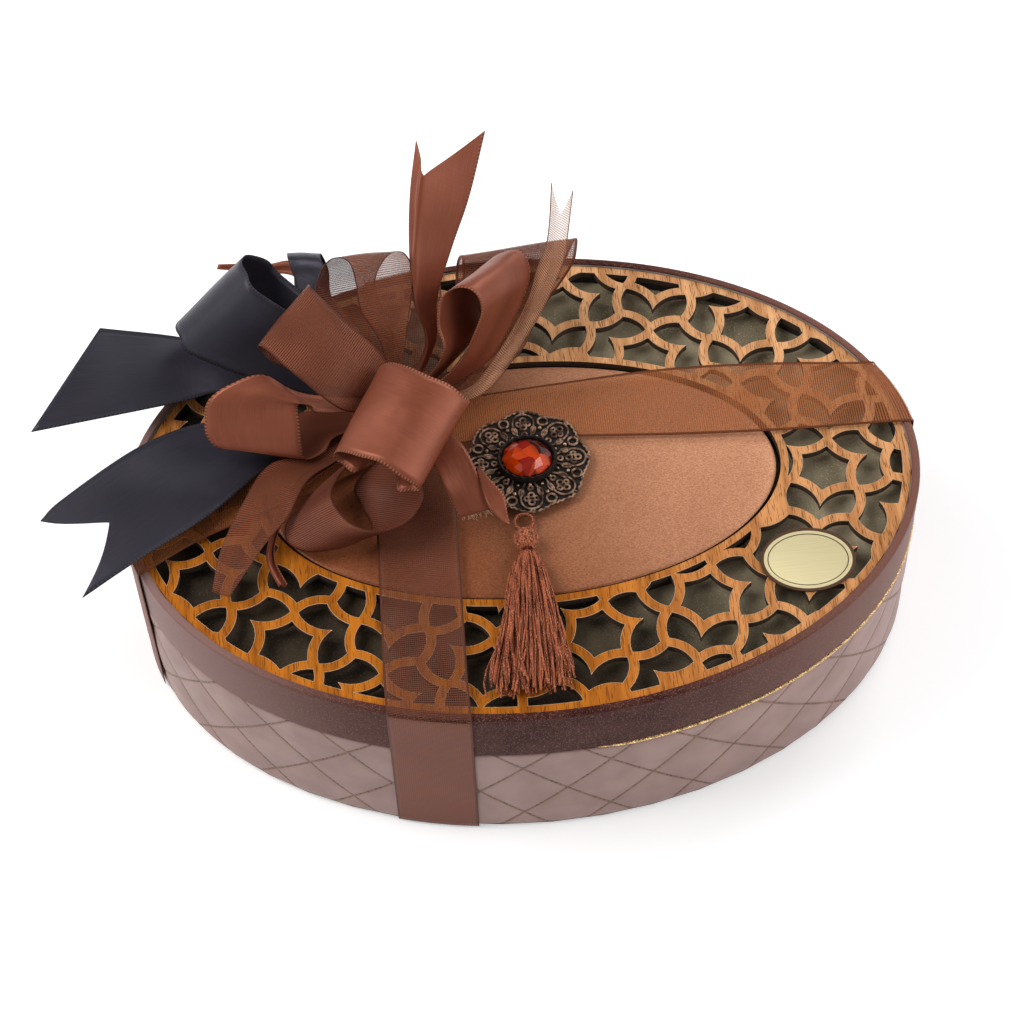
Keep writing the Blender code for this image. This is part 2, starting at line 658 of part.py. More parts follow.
def star_outline():
    node_distance = LATTICE_PITCH / math.sqrt(3)
    half_pitch = LATTICE_PITCH / 2
    radius = STAR_ARC_RADIUS + BAND_WIDTH / 2
    corner = half_pitch - math.sqrt(radius ** 2 - (node_distance / 2) ** 2)
    points = []
    for side in range(6):
        turn = math.radians(60) * side
        node = turned((node_distance, 0.0), turn + math.radians(30))
        start = turned((corner, 0.0), turn)
        end = turned((corner, 0.0), turn + math.radians(60))
        points += arc(node, start, end, ARC_STEPS)
    return points


def swirl_centre(crossing, node):
    middle = (crossing + node) / 2
    half = (crossing - node) / 2
    reach = math.hypot(*half)
    unit = half / reach
    square = np.array([unit[1], -unit[0]])
    return middle + square * math.sqrt(SWIRL_ARC_RADIUS ** 2 - reach ** 2)


def heart_outline():
    node_distance = LATTICE_PITCH / math.sqrt(3)
    half_pitch = LATTICE_PITCH / 2
    inner = STAR_ARC_RADIUS - BAND_WIDTH / 2
    wide = SWIRL_ARC_RADIUS + BAND_WIDTH / 2
    narrow = SWIRL_ARC_RADIUS - BAND_WIDTH / 2
    node = turned((node_distance, 0.0), math.radians(-30))
    far_crossing = np.array([LATTICE_PITCH - CROSSING_RADIUS, 0.0])
    near_crossing = turned((CROSSING_RADIUS, 0.0), math.radians(-60))
    first_swirl = swirl_centre(near_crossing, node)
    second_swirl = swirl_centre(far_crossing, node)
    tip = np.array([half_pitch - math.sqrt(inner ** 2 - (node_distance / 2) ** 2), 0.0])
    shoulder = circles_meet(node, inner, first_swirl, narrow, near_crossing)
    elbow = circles_meet(first_swirl, narrow, second_swirl, wide, node)
    cusp = np.array([second_swirl[0] - math.sqrt(wide ** 2 - second_swirl[1] ** 2), 0.0])
    low = arc(node, tip, shoulder, ARC_STEPS) + arc(first_swirl, shoulder, elbow, ARC_STEPS)
    low += arc(second_swirl, elbow, cusp, ARC_STEPS) + [cusp]
    high = [np.array([point[0], -point[1]]) for point in low[1:-1]]
    return low + high[::-1]


def lattice_outlines():
    """Star and heart openings of the whole lattice that come near the wood ring."""
    star = star_outline()
    heart = heart_outline()
    outlines = []
    for row in range(-LATTICE_REACH, LATTICE_REACH + 1):
        for column in range(-LATTICE_REACH, LATTICE_REACH + 1):
            along = turned((LATTICE_PITCH, 0.0), LATTICE_ANGLE) * column
            across = turned((LATTICE_PITCH, 0.0), LATTICE_ANGLE + math.radians(60)) * row
            centre = np.array(STAR_PLACE_SHARES) * LATTICE_PITCH + along + across
            cells = [(star, LATTICE_ANGLE)]
            cells += [(heart, LATTICE_ANGLE + math.radians(120) * turn) for turn in range(3)]
            for cell, angle in cells:
                placed = [turned(point, angle) + centre for point in cell]
                outer = [in_oval(point, *WOOD_OUTER) for point in placed]
                inner = [in_oval(point, *WOOD_INNER) for point in placed]
                if any(outer) and not all(inner):
                    outlines.append(placed)
    return outlines


def resized(size, growth):
    """An oval's half sizes, both grown by the same length."""
    return (size[0] + growth, size[1] + growth)


def in_oval(point, half_length, half_width):
    return (point[0] / half_length) ** 2 + (point[1] / half_width) ** 2 < 1


def islands_of(mesh_builder):
    """Groups of faces that hang together."""
    seen = set()
    groups = []
    for first in mesh_builder.faces:
        if first.index in seen:
            continue
        group = []
        waiting = [first]
        seen.add(first.index)
        while waiting:
            face = waiting.pop()
            group.append(face)
            for edge in face.edges:
                for other in edge.link_faces:
                    if other.index not in seen:
                        seen.add(other.index)
                        waiting.append(other)
        groups.append(group)
    return groups


def drop_small_islands(mesh, smallest_area):
    builder = bmesh.new()
    builder.from_mesh(mesh)
    builder.faces.ensure_lookup_table()
    builder.faces.index_update()
    unwanted = []
    for group in islands_of(builder):
        flat = sum(face.calc_area() for face in group if face.normal.z > 0.9)
        if flat < smallest_area:
            unwanted += group
    bmesh.ops.delete(builder, geom=unwanted, context="FACES")
    builder.to_mesh(mesh)
    builder.free()


def fretwork_cutter(look):
    low = WOOD_BOTTOM - CUTTER_OVERRUN
    high = WOOD_TOP + CUTTER_OVERRUN
    points, faces = prism_mesh(lattice_outlines(), low, high)
    cells = mesh_object("fretwork_cells", points, faces, look, False)
    hide_helper(cells)
    outer = resized(WOOD_OUTER, -WOOD_BORDER)
    inner = resized(WOOD_INNER, WOOD_BORDER)
    window = ring_between(
        "fretwork_window", outer, inner, low - CUTTER_OVERRUN, high + CUTTER_OVERRUN, look, OVAL_STEPS
    )
    hide_helper(window)
    boolean(cells, window, "INTERSECT", "trim to the ring")
    bpy.context.view_layer.update()
    graph = bpy.context.evaluated_depsgraph_get()
    trimmed = bpy.data.meshes.new_from_object(cells.evaluated_get(graph))
    drop_small_islands(trimmed, SMALLEST_OPENING_AREA)
    cutter = bpy.data.objects.new("fretwork_openings", trimmed)
    bpy.context.scene.collection.objects.link(cutter)
    hide_helper(cutter)
    return cutter


def ring_between(name, outer, inner, bottom, top, look, steps):
    """A flat ring between two ovals given as (half length, half width)."""
    points = oval_points(*outer, bottom, steps) + oval_points(*outer, top, steps)
    points += oval_points(*inner, top, steps) + oval_points(*inner, bottom, steps)
    faces = []
    for row in range(4):
        for step in range(steps):
            after = (step + 1) % steps
            low = row * steps
            high = (row + 1) % 4 * steps
            faces.append((low + step, low + after, high + after, high + step))
    return mesh_object(name, points, faces, look, False)


def fretwork_ring(look):
    ring = ring_between("fretwork_ring", WOOD_OUTER, WOOD_INNER, WOOD_BOTTOM, WOOD_TOP, look, OVAL_STEPS)
    boolean(ring, fretwork_cutter(look), "DIFFERENCE", "cut the fretwork")
    return ring


def quilted_cover(look):
    section = [
        (NO_INSET, BASE_BOTTOM),
        (NO_INSET, BASE_HEIGHT),
        (COVER_THICKNESS, BASE_HEIGHT),
        (COVER_THICKNESS, BASE_BOTTOM),
    ]
    return swept_oval("quilted_cover", BOX_HALF_LENGTH, BOX_HALF_WIDTH, section, look, OVAL_STEPS, True)


def gold_cord(look):
    section = []
    for side in range(CORD_SIDES):
        turn = math.tau * side / CORD_SIDES
        inset = CORD_CENTRE_INSET - CORD_RADIUS * math.cos(turn)
        section.append((inset, CORD_HEIGHT + CORD_RADIUS * math.sin(turn)))
    return swept_oval("gold_cord", BOX_HALF_LENGTH, BOX_HALF_WIDTH, section, look, OVAL_STEPS, True)


def pad_sheet(look):
    """The soft sheet on which the chocolates lie."""
    return oval_plate("pad_sheet", LINING_INSET, PAD_SHEET_BOTTOM, PAD_SHEET_TOP, look)


def rim_cover(look):
    section = [
        (NO_INSET, LID_BOTTOM),
        (NO_INSET, LID_TOP - RIM_EDGE_ROUND),
        (RIM_EDGE_ROUND * 0.3, LID_TOP - RIM_EDGE_ROUND * 0.3),
        (RIM_EDGE_ROUND, LID_TOP),
        (WALL_INNER_INSET - RIM_INNER_ROUND, LID_TOP),
        (WALL_INNER_INSET, LID_TOP - RIM_INNER_ROUND),
        (WALL_INNER_INSET, RIM_FLANGE_BOTTOM),
        (COVER_THICKNESS, RIM_FLANGE_BOTTOM),
        (COVER_THICKNESS, LID_BOTTOM),
    ]
    return swept_oval("rim_cover", BOX_HALF_LENGTH, BOX_HALF_WIDTH, section, look, OVAL_STEPS, True)


def outer_spacer(look):
    inner = resized(WOOD_OUTER, -SPACER_WIDTH)
    return ring_between("outer_spacer", WOOD_OUTER, inner, SPACER_BOTTOM, SPACER_TOP, look, HIDDEN_STEPS)


def inner_spacer(look):
    outer = resized(WOOD_INNER, SPACER_WIDTH)
    inner = resized(WOOD_INNER, GAP)
    return ring_between("inner_spacer", outer, inner, SPACER_BOTTOM, SPACER_TOP, look, HIDDEN_STEPS)


def centre_board(look):
    size = resized(WOOD_INNER, -CENTRE_CLEARANCE)
    layers = [(*size, SPACER_BOTTOM), (*size, CENTRE_BOARD_TOP)]
    return stacked_ovals("centre_board", layers, look, HIDDEN_STEPS, True)


def centre_foam(look):
    size = resized(WOOD_INNER, -CENTRE_CLEARANCE - FOAM_INSET)
    return stacked_ovals("centre_foam", [(*size, FOAM_BOTTOM), (*size, FOAM_TOP)], look, HIDDEN_STEPS, True)


def satin_panel(look):
    half_length, half_width = resized(WOOD_INNER, -SATIN_CLEARANCE)
    layers = []
    for share, rise_share in SATIN_PROFILE_SHARES:
        layers.append((half_length * share, half_width * share, SATIN_BOTTOM + SATIN_CROWN * rise_share))
    return stacked_ovals("satin_panel", layers, look, OVAL_STEPS, True)


def oval_label(look):
    size = (LABEL_HALF_LENGTH, LABEL_HALF_WIDTH)
    layers = [(*size, LABEL_BOTTOM), (*size, LABEL_BOTTOM + LABEL_THICKNESS)]
    made = stacked_ovals("oval_label", layers, look, LABEL_STEPS, True)
    for vertex in made.data.vertices:
        x, y = turned((vertex.co.x, vertex.co.y), LABEL_TURN)
        vertex.co.x = x + BOX_HALF_LENGTH * LABEL_PLACE_SHARES[0]
        vertex.co.y = y + BOX_HALF_WIDTH * LABEL_PLACE_SHARES[1]
    return made


def sheet_solid(name, rows, thickness, look):
    """A thin closed sheet through a grid of middle points, thickened along its own normals."""
    grid = np.array(rows)
    count, across = grid.shape[:2]
    along = np.gradient(grid, axis=0)
    over = np.gradient(grid, axis=1)
    normal = np.cross(along, over)
    normal /= np.linalg.norm(normal, axis=2)[:, :, None]
    half = thickness / 2
    upper = (grid + normal * half).reshape(-1, 3)
    lower = (grid - normal * half).reshape(-1, 3)
    points = list(upper) + list(lower)
    shift = count * across
    faces = []
    for row in range(count - 1):
        for column in range(across - 1):
            corner = row * across + column
            opposite = corner + across + 1
            for half_quad in ((corner, corner + 1, opposite), (corner, opposite, corner + across)):
                faces.append(half_quad)
                faces.append(tuple(index + shift for index in reversed(half_quad)))
    rim = list(range(across)) + [row * across + across - 1 for row in range(1, count)]
    rim += [(count - 1) * across + column for column in range(across - 2, -1, -1)]
    rim += [row * across for row in range(count - 2, 0, -1)]
    for step, corner in enumerate(rim):
        after = rim[(step + 1) % len(rim)]
        faces.append((corner, corner + shift, after + shift, after))
    return mesh_object(name, points, faces, look, True)


def wall_y(x, clearance):
    """Distance from the long axis to the box wall at x, with a clearance outside it."""
    half_length = BOX_HALF_LENGTH + clearance
    return (BOX_HALF_WIDTH + clearance) * math.sqrt(1 - (x / half_length) ** 2)


def wall_x(y, clearance):
    half_width = BOX_HALF_WIDTH + clearance
    return (BOX_HALF_LENGTH + clearance) * math.sqrt(1 - (y / half_width) ** 2)


def shares(count):
    return [step / (count - 1) for step in range(count)]


def edges_about(centre):
    """The places across a wrapped ribbon whose middle is at centre."""
    return [centre + WRAP_WIDTH * (share - 1 / 2) for share in shares(WRAP_ACROSS)]


def wall_rows(place, across, lid_height):
    """Rows up a wall and round the rim. place turns a place across, a way in and a height into a point."""
    rows = []
    for share in WRAP_WALL_SHARES:
        height = WRAP_FOOT + (lid_height - WRAP_FOOT) * share
        rows.append([place(value, 0, height) for value in across])
    for into_share, drop_share in WRAP_BEND_SHARES:
        height = lid_height - WRAP_BEND * drop_share
        rows.append([place(value, WRAP_BEND * into_share, height) for value in across])
    return rows


def ribbon_cross(look):
    front = edges_about(BOX_HALF_LENGTH * CROSS_FRONT_SHARE)
    back = edges_about(BOX_HALF_LENGTH * CROSS_BACK_SHARE)
    top = CROSS_RIBBON_HEIGHT
    rows = wall_rows(lambda x, into, height: (x, into - wall_y(x, WRAP_WALL_GAP), height), front, top)
    first, last = CROSS_ROW_SHARES[0], CROSS_ROW_SHARES[-1]
    for row_share in CROSS_ROW_SHARES:
        share = (row_share - first) / (last - first)
        y = BOX_HALF_WIDTH * row_share
        rows.append([(near + (far - near) * share, y, top) for near, far in zip(front, back)])
    back_rows = wall_rows(lambda x, into, height: (x, wall_y(x, WRAP_WALL_GAP) - into, height), back, top)
    rows += back_rows[::-1]
    return sheet_solid("ribbon_cross", rows, WRAP_THICKNESS, look)


def ribbon_long(look):
    left = edges_about(BOX_HALF_WIDTH * LONG_LEFT_SHARE)
    right = edges_about(BOX_HALF_WIDTH * LONG_RIGHT_SHARE)
    top = LONG_RIBBON_HEIGHT
    rows = wall_rows(lambda y, into, height: (into - wall_x(y, WRAP_WALL_GAP), y, height), left, top)
    for place_share, low_share, high_share in LONG_ROW_SHARES:
        x = BOX_HALF_LENGTH * place_share
        low = BOX_HALF_WIDTH * low_share
        high = BOX_HALF_WIDTH * high_share
        rows.append([(x, low + (high - low) * share, top) for share in shares(WRAP_ACROSS)])
    right_rows = wall_rows(lambda y, into, height: (wall_x(y, WRAP_WALL_GAP) - into, y, height), right, top)
    rows += right_rows[::-1]
    return sheet_solid("ribbon_long", rows, WRAP_THICKNESS, look)


def ribbon_tongue(name, edge, inward, look):
    """The flat end of a wrapped ribbon, held between the base board and the bottom paper."""
    edge = np.array(edge)
    inward = np.array(inward)
    side = np.array([-inward[1], inward[0]]) * (WRAP_WIDTH / 2)
    far = edge + inward * TONGUE_LENGTH
    corners = [edge - side, edge + side, far + side, far - side]
    points, faces = prism_mesh([corners], TONGUE_BOTTOM, TONGUE_TOP)
    return mesh_object(name, points, faces, look, False)


def ribbon_tongues(look):
    half = WRAP_WIDTH / 2
    front_x = BOX_HALF_LENGTH * CROSS_FRONT_SHARE
    back_x = BOX_HALF_LENGTH * CROSS_BACK_SHARE
    left_y = BOX_HALF_WIDTH * LONG_LEFT_SHARE
    right_y = BOX_HALF_WIDTH * LONG_RIGHT_SHARE
    inside = -COVER_THICKNESS
    front = (front_x, -wall_y(front_x - half, inside))
    back = (back_x, wall_y(back_x - half, inside))
    left = (-wall_x(left_y - half, inside), left_y)
    right = (wall_x(right_y + half, inside), right_y)
    ribbon_tongue("ribbon_tongue_front", front, (0, 1), look)
    ribbon_tongue("ribbon_tongue_back", back, (0, -1), look)
    ribbon_tongue("ribbon_tongue_left", left, (1, 0), look)
    ribbon_tongue("ribbon_tongue_right", right, (-1, 0), look)


def spline_points(points, steps):
    """Points on a smooth curve through the given points."""
    given = np.array(points)
    first = given[0] + given[0] - given[1]
    last = given[-1] + given[-1] - given[-2]
    padded = np.vstack([first, given, last])
    curve = []
    for index in range(1, len(padded) - 2):
        before, start, end, after = padded[index - 1:index + 3]
        for step in range(steps):
            share = step / steps
            curve.append(curve_between(before, start, end, after, share))
    curve.append(given[-1])
    return curve


def curve_between(before, start, end, after, share):
    linear = end - before
    square = before + before - 5 * start + 4 * end - after
    cube = 3 * start - before - 3 * end + after
    return start + (linear * share + square * share ** 2 + cube * share ** 3) / 2


def seat_on_knot(point):
    """The place straight towards the knot's centre that lies one gap off the knot's surface."""
    centre = np.array(KNOT_CENTRE)
    half = np.array([KNOT_HALF_WIDTH, KNOT_HALF_WIDTH, KNOT_HALF_HEIGHT])
    away = point - centre
    on_surface = away / np.linalg.norm(away / half)
    return centre + on_surface * (1 + GAP / np.linalg.norm(on_surface))


def bow_ribbon(name, edge_shares, returns, fork_share, look):
    """One ribbon of the bow between its two edges, seated on the knot. A loop returns there.
    A fork draws the middle of a tail's far end back."""
    placed = np.array(edge_shares) * BOW_REACH + np.array(KNOT_CENTRE)
    seats = [0, -1] if returns else [0]
    for seat in seats:
        placed[seat] = [seat_on_knot(point) for point in placed[seat]]
    left = spline_points(placed[:, 0], STEPS_PER_STATION)
    right = spline_points(placed[:, 1], STEPS_PER_STATION)
    rows = []
    last = len(left) - 1
    for index, (start, end) in enumerate(zip(left, right)):
        middle = (start + end) / 2
        if index == 0 or (returns and index == last):
            middle = seat_on_knot(middle)
        else:
            back = (left[index - 1] + right[index - 1]) / 2
            middle = middle + (back - middle) * fork_share * (index / last) ** 3
        rows.append([start, middle, end])
    return sheet_solid(name, rows, BOW_THICKNESS, look)


def bow_knot(look):
    bpy.ops.mesh.primitive_uv_sphere_add(segments=12, ring_count=8, radius=1, location=KNOT_CENTRE)
    made = bpy.context.active_object
    made.scale = (KNOT_HALF_WIDTH, KNOT_HALF_WIDTH, KNOT_HALF_HEIGHT)
    bpy.ops.object.transform_apply(location=True, rotation=True, scale=True)
    return named(made, "bow_knot", look)


def build_bow():
    ribbon = ribbon_look()
    sheer = sheer_look()
    black = black_look()
    bow_knot(ribbon)
    bow_ribbon("tail_up", TAIL_UP_SHARES, False, DEEP_FORK_SHARE, ribbon)
    bow_ribbon("loop_right", LOOP_RIGHT_SHARES, True, NO_FORK_SHARE, ribbon)
    bow_ribbon("tail_organza_right", TAIL_ORGANZA_RIGHT_SHARES, False, DEEP_FORK_SHARE, sheer)
    bow_ribbon("loop_organza_right", LOOP_ORGANZA_RIGHT_SHARES, True, NO_FORK_SHARE, sheer)
    bow_ribbon("loop_centre", LOOP_CENTRE_SHARES, True, NO_FORK_SHARE, ribbon)
    bow_ribbon("loop_left", LOOP_LEFT_SHARES, True, NO_FORK_SHARE, ribbon)
    bow_ribbon("loop_organza_left", LOOP_ORGANZA_LEFT_SHARES, True, NO_FORK_SHARE, sheer)
    bow_ribbon("loop_organza_top", LOOP_ORGANZA_TOP_SHARES, True, NO_FORK_SHARE, sheer)
    bow_ribbon("loop_front", LOOP_FRONT_SHARES, True, NO_FORK_SHARE, ribbon)
    bow_ribbon("tail_organza_left", TAIL_ORGANZA_LEFT_SHARES, False, NO_FORK_SHARE, sheer)
    bow_ribbon("tail_curl", TAIL_CURL_SHARES, False, NO_FORK_SHARE, ribbon)
    bow_ribbon("tail_right", TAIL_RIGHT_SHARES, False, NO_FORK_SHARE, ribbon)
    bow_ribbon("tail_brown_back", TAIL_BROWN_BACK_SHARES, False, NO_FORK_SHARE, ribbon)
    bow_ribbon("loop_black", LOOP_BLACK_SHARES, True, NO_FORK_SHARE, black)
    bow_ribbon("loop_black_back", LOOP_BLACK_BACK_SHARES, True, NO_FORK_SHARE, black)
    bow_ribbon("tail_black_upper", TAIL_BLACK_UPPER_SHARES, False, NO_FORK_SHARE, black)
    bow_ribbon("tail_black_lower", TAIL_BLACK_LOWER_SHARES, False, DEEP_FORK_SHARE, black)


def brooch_plate(look):
    outline = []
    for step in range(BROOCH_OUTLINE_STEPS):
        turn = math.tau * step / BROOCH_OUTLINE_STEPS
        radius = BROOCH_RADIUS * (1 - SCALLOP_SHARE * (1 - math.cos(BROOCH_PETALS * turn)))
        across = radius * math.cos(turn)
        along = radius * math.sin(turn)
        outline.append((BROOCH_CENTRE[0] + across, BROOCH_CENTRE[1] + along))
    points, faces = prism_mesh([outline], BROOCH_BOTTOM, BROOCH_TOP)
    plate = mesh_object("brooch_plate", points, faces, look, False)
    holes = []
    for petal in range(BROOCH_PETALS):
        turn = math.tau * petal / BROOCH_PETALS
        holes.append(brooch_hole(turn, PETAL_HOLE_SHARES))
        holes.append(brooch_hole(turn + math.pi / BROOCH_PETALS, RING_HOLE_SHARES))
    points, faces = prism_mesh(holes, BROOCH_BOTTOM - CUTTER_OVERRUN, BROOCH_TOP + CUTTER_OVERRUN)
    cutter = mesh_object("brooch_holes", points, faces, look, False)
    hide_helper(cutter)
    boolean(plate, cutter, "DIFFERENCE", "cut the petals")
    return plate


def brooch_hole(turn, hole_shares):
    """An oval hole at a distance from the centre, with its length outward, all as shares of the radius."""
    distance, half_length, half_width = np.array(hole_shares) * BROOCH_RADIUS
    hole = []
    for step in range(HOLE_STEPS):
        angle = math.tau * step / HOLE_STEPS
        local = (distance + half_length * math.cos(angle), half_width * math.sin(angle))
        hole.append(turned(local, turn) + np.array(BROOCH_CENTRE))
    return hole


def moved(made, x, y):
    for vertex in made.data.vertices:
        vertex.co.x += x
        vertex.co.y += y
    return made


def brooch_bezel(look):
    top = STONE_BOTTOM + BEZEL_HEIGHT
    section = [
        (NO_INSET, STONE_BOTTOM),
        (NO_INSET, top - BEZEL_WALL),
        (BEZEL_WALL / 2, top),
        (BEZEL_WALL, top - BEZEL_WALL / 2),
        (BEZEL_WALL, STONE_BOTTOM),
    ]
    half_length = STONE_HALF_LENGTH + GAP + BEZEL_WALL
    half_width = STONE_HALF_WIDTH + GAP + BEZEL_WALL
    made = swept_oval("brooch_bezel", half_length, half_width, section, look, BEZEL_STEPS, True)
    return moved(made, *BROOCH_CENTRE)


def brooch_stone(look):
    layers = []
    for share, rise_share in STONE_PROFILE_SHARES:
        height = STONE_BOTTOM + STONE_HEIGHT * rise_share
        layers.append((STONE_HALF_LENGTH * share, STONE_HALF_WIDTH * share, height))
    made = stacked_ovals("brooch_stone", layers, look, STONE_STEPS, False)
    return moved(made, *BROOCH_CENTRE)


def brooch_pad(look):
    layers = [(PAD_RADIUS, PAD_RADIUS, PAD_BOTTOM), (PAD_RADIUS, PAD_RADIUS, PAD_TOP)]
    made = stacked_ovals("brooch_pad", layers, look, PAD_STEPS, True)
    return moved(made, BROOCH_CENTRE[0], BROOCH_CENTRE[1] - PAD_DROP)


def tassel_loop(look):
    bpy.ops.mesh.primitive_torus_add(
        major_radius=TASSEL_LOOP_RADIUS,
        minor_radius=TASSEL_CORD_RADIUS,
        major_segments=TASSEL_LOOP_STEPS,
        minor_segments=TASSEL_CORD_SIDES,
        location=TASSEL_LOOP_CENTRE,
    )
    made = bpy.context.active_object
    bpy.ops.object.transform_apply(location=True, rotation=True, scale=True)
    return named(made, "tassel_loop", look)


def named(made, name, look):
    made.name = name
    made.data.name = name
    made.data.materials.clear()
    made.data.materials.append(look)
    for face in made.data.polygons:
        face.use_smooth = True
    return made


def tassel_head(look):
    bpy.ops.mesh.primitive_uv_sphere_add(segments=12, ring_count=8, radius=1, location=TASSEL_HEAD_CENTRE)
    made = bpy.context.active_object
    made.scale = (TASSEL_HEAD_RADIUS, TASSEL_HEAD_RADIUS, TASSEL_HEAD_RADIUS)
    bpy.ops.object.transform_apply(location=True, rotation=True, scale=True)
    return named(made, "tassel_head", look)


def tassel_skirt(look):
    points = []
    faces = []
    for down_share, width_share, height_share in TASSEL_SKIRT_SHARES:
        half_width = TASSEL_HALF_WIDTH * width_share
        half_height = TASSEL_HALF_HEIGHT * height_share
        x = TASSEL_HEAD_CENTRE[0] - TASSEL_SWAY * down_share
        y = SKIRT_START - TASSEL_LENGTH * down_share
        z = WOOD_TOP + GAP + half_height
        for side in range(TASSEL_SIDES):
            turn = math.tau * side / TASSEL_SIDES
            points.append((x + half_width * math.cos(turn), y, z + half_height * math.sin(turn)))
    rings = len(TASSEL_SKIRT_SHARES)
    for row in range(rings - 1):
        for side in range(TASSEL_SIDES):
            after = (side + 1) % TASSEL_SIDES
            low = row * TASSEL_SIDES
            high = low + TASSEL_SIDES
            faces.append((low + side, low + after, high + after, high + side))
    faces.append(tuple(range(TASSEL_SIDES)))
    last = (rings - 1) * TASSEL_SIDES
    faces.append(tuple(reversed(range(last, last + TASSEL_SIDES))))
    return mesh_object("tassel_skirt", points, faces, look, True)


def build_base():
    board = board_look()
    paper = paper_look()
    oval_plate("bottom_paper", PAPER_INSET, GROUND, PAPER_THICKNESS, paper)
    oval_plate("base_board", COLLAR_OUTER_INSET, BASE_BOTTOM, FLOOR_TOP, board)
    oval_ring("base_wall", WALL_OUTER_INSET, WALL_INNER_INSET, BASE_BOTTOM, BASE_HEIGHT, board)
    quilted_cover(quilt_look())
    oval_ring("neck_collar", COLLAR_OUTER_INSET, COLLAR_INNER_INSET, LINING_BOTTOM, COLLAR_TOP, board)
    oval_plate("floor_lining", LINING_INSET, LINING_BOTTOM, LINING_TOP, paper)
    gold_cord(gold_look())
    pad_sheet(pad_look())


def build_lid():
    board = board_look()
    wood = wood_look()
    oval_plate("lid_top_board", COLLAR_OUTER_INSET, TOP_BOARD_BOTTOM, TOP_BOARD_TOP, board)
    oval_ring("lid_wall", WALL_OUTER_INSET, WALL_INNER_INSET, LID_BOTTOM, LID_WALL_TOP, board)
    rim_cover(rim_look())
    oval_plate("suede_panel", COLLAR_OUTER_INSET, SUEDE_BOTTOM, SUEDE_TOP, suede_look())
    outer_spacer(board)
    inner_spacer(board)
    fretwork_ring(wood)
    centre_board(board)
    centre_foam(foam_look())
    satin_panel(satin_look())
    oval_label(label_look())


def build_ribbons():
    ribbon = ribbon_look()
    sheer = sheer_look()
    ribbon_cross(sheer)
    ribbon_long(sheer)
    ribbon_tongues(ribbon)


def build_brooch():
    bronze = bronze_look()
    brooch_plate(bronze)
    brooch_bezel(bronze)
    brooch_stone(stone_look())
    brooch_pad(glue_look())


def build_tassel():
    thread = tassel_look()
    tassel_loop(thread)
    hinge = bpy.data.objects.new("tassel_hinge", None)
    hinge.location = TASSEL_LOOP_CENTRE
    bpy.context.scene.collection.objects.link(hinge)
    for made in (tassel_head(thread), tassel_skirt(thread)):
        made.parent = hinge
        made.matrix_parent_inverse = Matrix.Translation(TASSEL_LOOP_CENTRE).inverted()


def own_materials():
    """Each sub-part ends with a material of its own, so its colour can be changed alone."""
    for obj in bpy.context.scene.objects:
        if obj.type == "MESH":
            own = obj.data.materials[0].copy()
            own.name = obj.name
            obj.data.materials[0] = own


def main():
    clear_scene()
    build_base()
    build_lid()
    build_ribbons()
    build_bow()
    build_brooch()
    build_tassel()
    own_materials()


main()
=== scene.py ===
# %% [markdown]
# # An oval chocolate box with a cut wood lid and a large bow
# The box is covered board: a quilted base, and a lift-off lid with a ring of laser-cut veneer round a
# padded satin centre. Two ribbons are wrapped round it, and a bow, a brooch and a tassel sit on top.
# The exact solids come first, as a frame. Everything after this dresses them.

# %% Load the frame
import json
import math

import bmesh
import bpy
import numpy as np
from mathutils import Euler, Matrix, Vector

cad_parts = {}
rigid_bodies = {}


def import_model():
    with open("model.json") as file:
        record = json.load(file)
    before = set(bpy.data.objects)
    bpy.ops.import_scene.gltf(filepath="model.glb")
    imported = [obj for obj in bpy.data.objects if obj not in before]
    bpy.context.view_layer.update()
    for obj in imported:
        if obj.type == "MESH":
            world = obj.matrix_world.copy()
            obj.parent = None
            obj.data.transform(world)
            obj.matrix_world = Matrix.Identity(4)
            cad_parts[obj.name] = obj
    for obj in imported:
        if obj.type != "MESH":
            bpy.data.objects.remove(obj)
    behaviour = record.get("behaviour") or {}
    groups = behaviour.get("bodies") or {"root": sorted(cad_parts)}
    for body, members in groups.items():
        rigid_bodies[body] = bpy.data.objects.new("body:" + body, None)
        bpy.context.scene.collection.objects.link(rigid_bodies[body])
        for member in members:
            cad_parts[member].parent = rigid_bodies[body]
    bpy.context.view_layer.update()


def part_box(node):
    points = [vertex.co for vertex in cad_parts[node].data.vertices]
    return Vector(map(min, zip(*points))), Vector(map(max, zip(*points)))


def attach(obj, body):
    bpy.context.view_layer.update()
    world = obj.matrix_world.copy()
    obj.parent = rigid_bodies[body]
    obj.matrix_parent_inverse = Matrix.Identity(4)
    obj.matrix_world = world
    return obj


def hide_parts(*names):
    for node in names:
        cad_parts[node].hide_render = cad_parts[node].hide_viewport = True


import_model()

# %% [markdown]
# ## Camera, floor and light
# The box is seen from the front and well above, with a long lens, as a maker's shop would show it.
# The floor is a pale plane. It shines a little, but only in rays that the camera sees straight, through
# something clear or by reflection, so it reads as white paper and casts no soft light on the box. It
# keeps the shadow that tells the eye the box stands on something.

# %% Camera
IMAGE_PIXELS = 1024
SENSOR_WIDTH = 36.0
FOCAL_PIXELS = 2580.5
CAMERA_PLACE = (-0.0367, -0.5692, 0.8631)
CAMERA_TURNS = (math.radians(35.145), math.radians(1.335), math.radians(-5.144))

camera_data = bpy.data.cameras.new("photo_camera")
camera_data.sensor_width = SENSOR_WIDTH
camera_data.lens = SENSOR_WIDTH * FOCAL_PIXELS / IMAGE_PIXELS
camera = bpy.data.objects.new("photo_camera", camera_data)
camera.location = CAMERA_PLACE
camera.rotation_euler = Euler(CAMERA_TURNS, "XYZ")
bpy.context.scene.collection.objects.link(camera)
bpy.context.scene.camera = camera
bpy.context.scene.view_settings.view_transform = "Standard"
print("lens", round(camera_data.lens, 1), "mm")

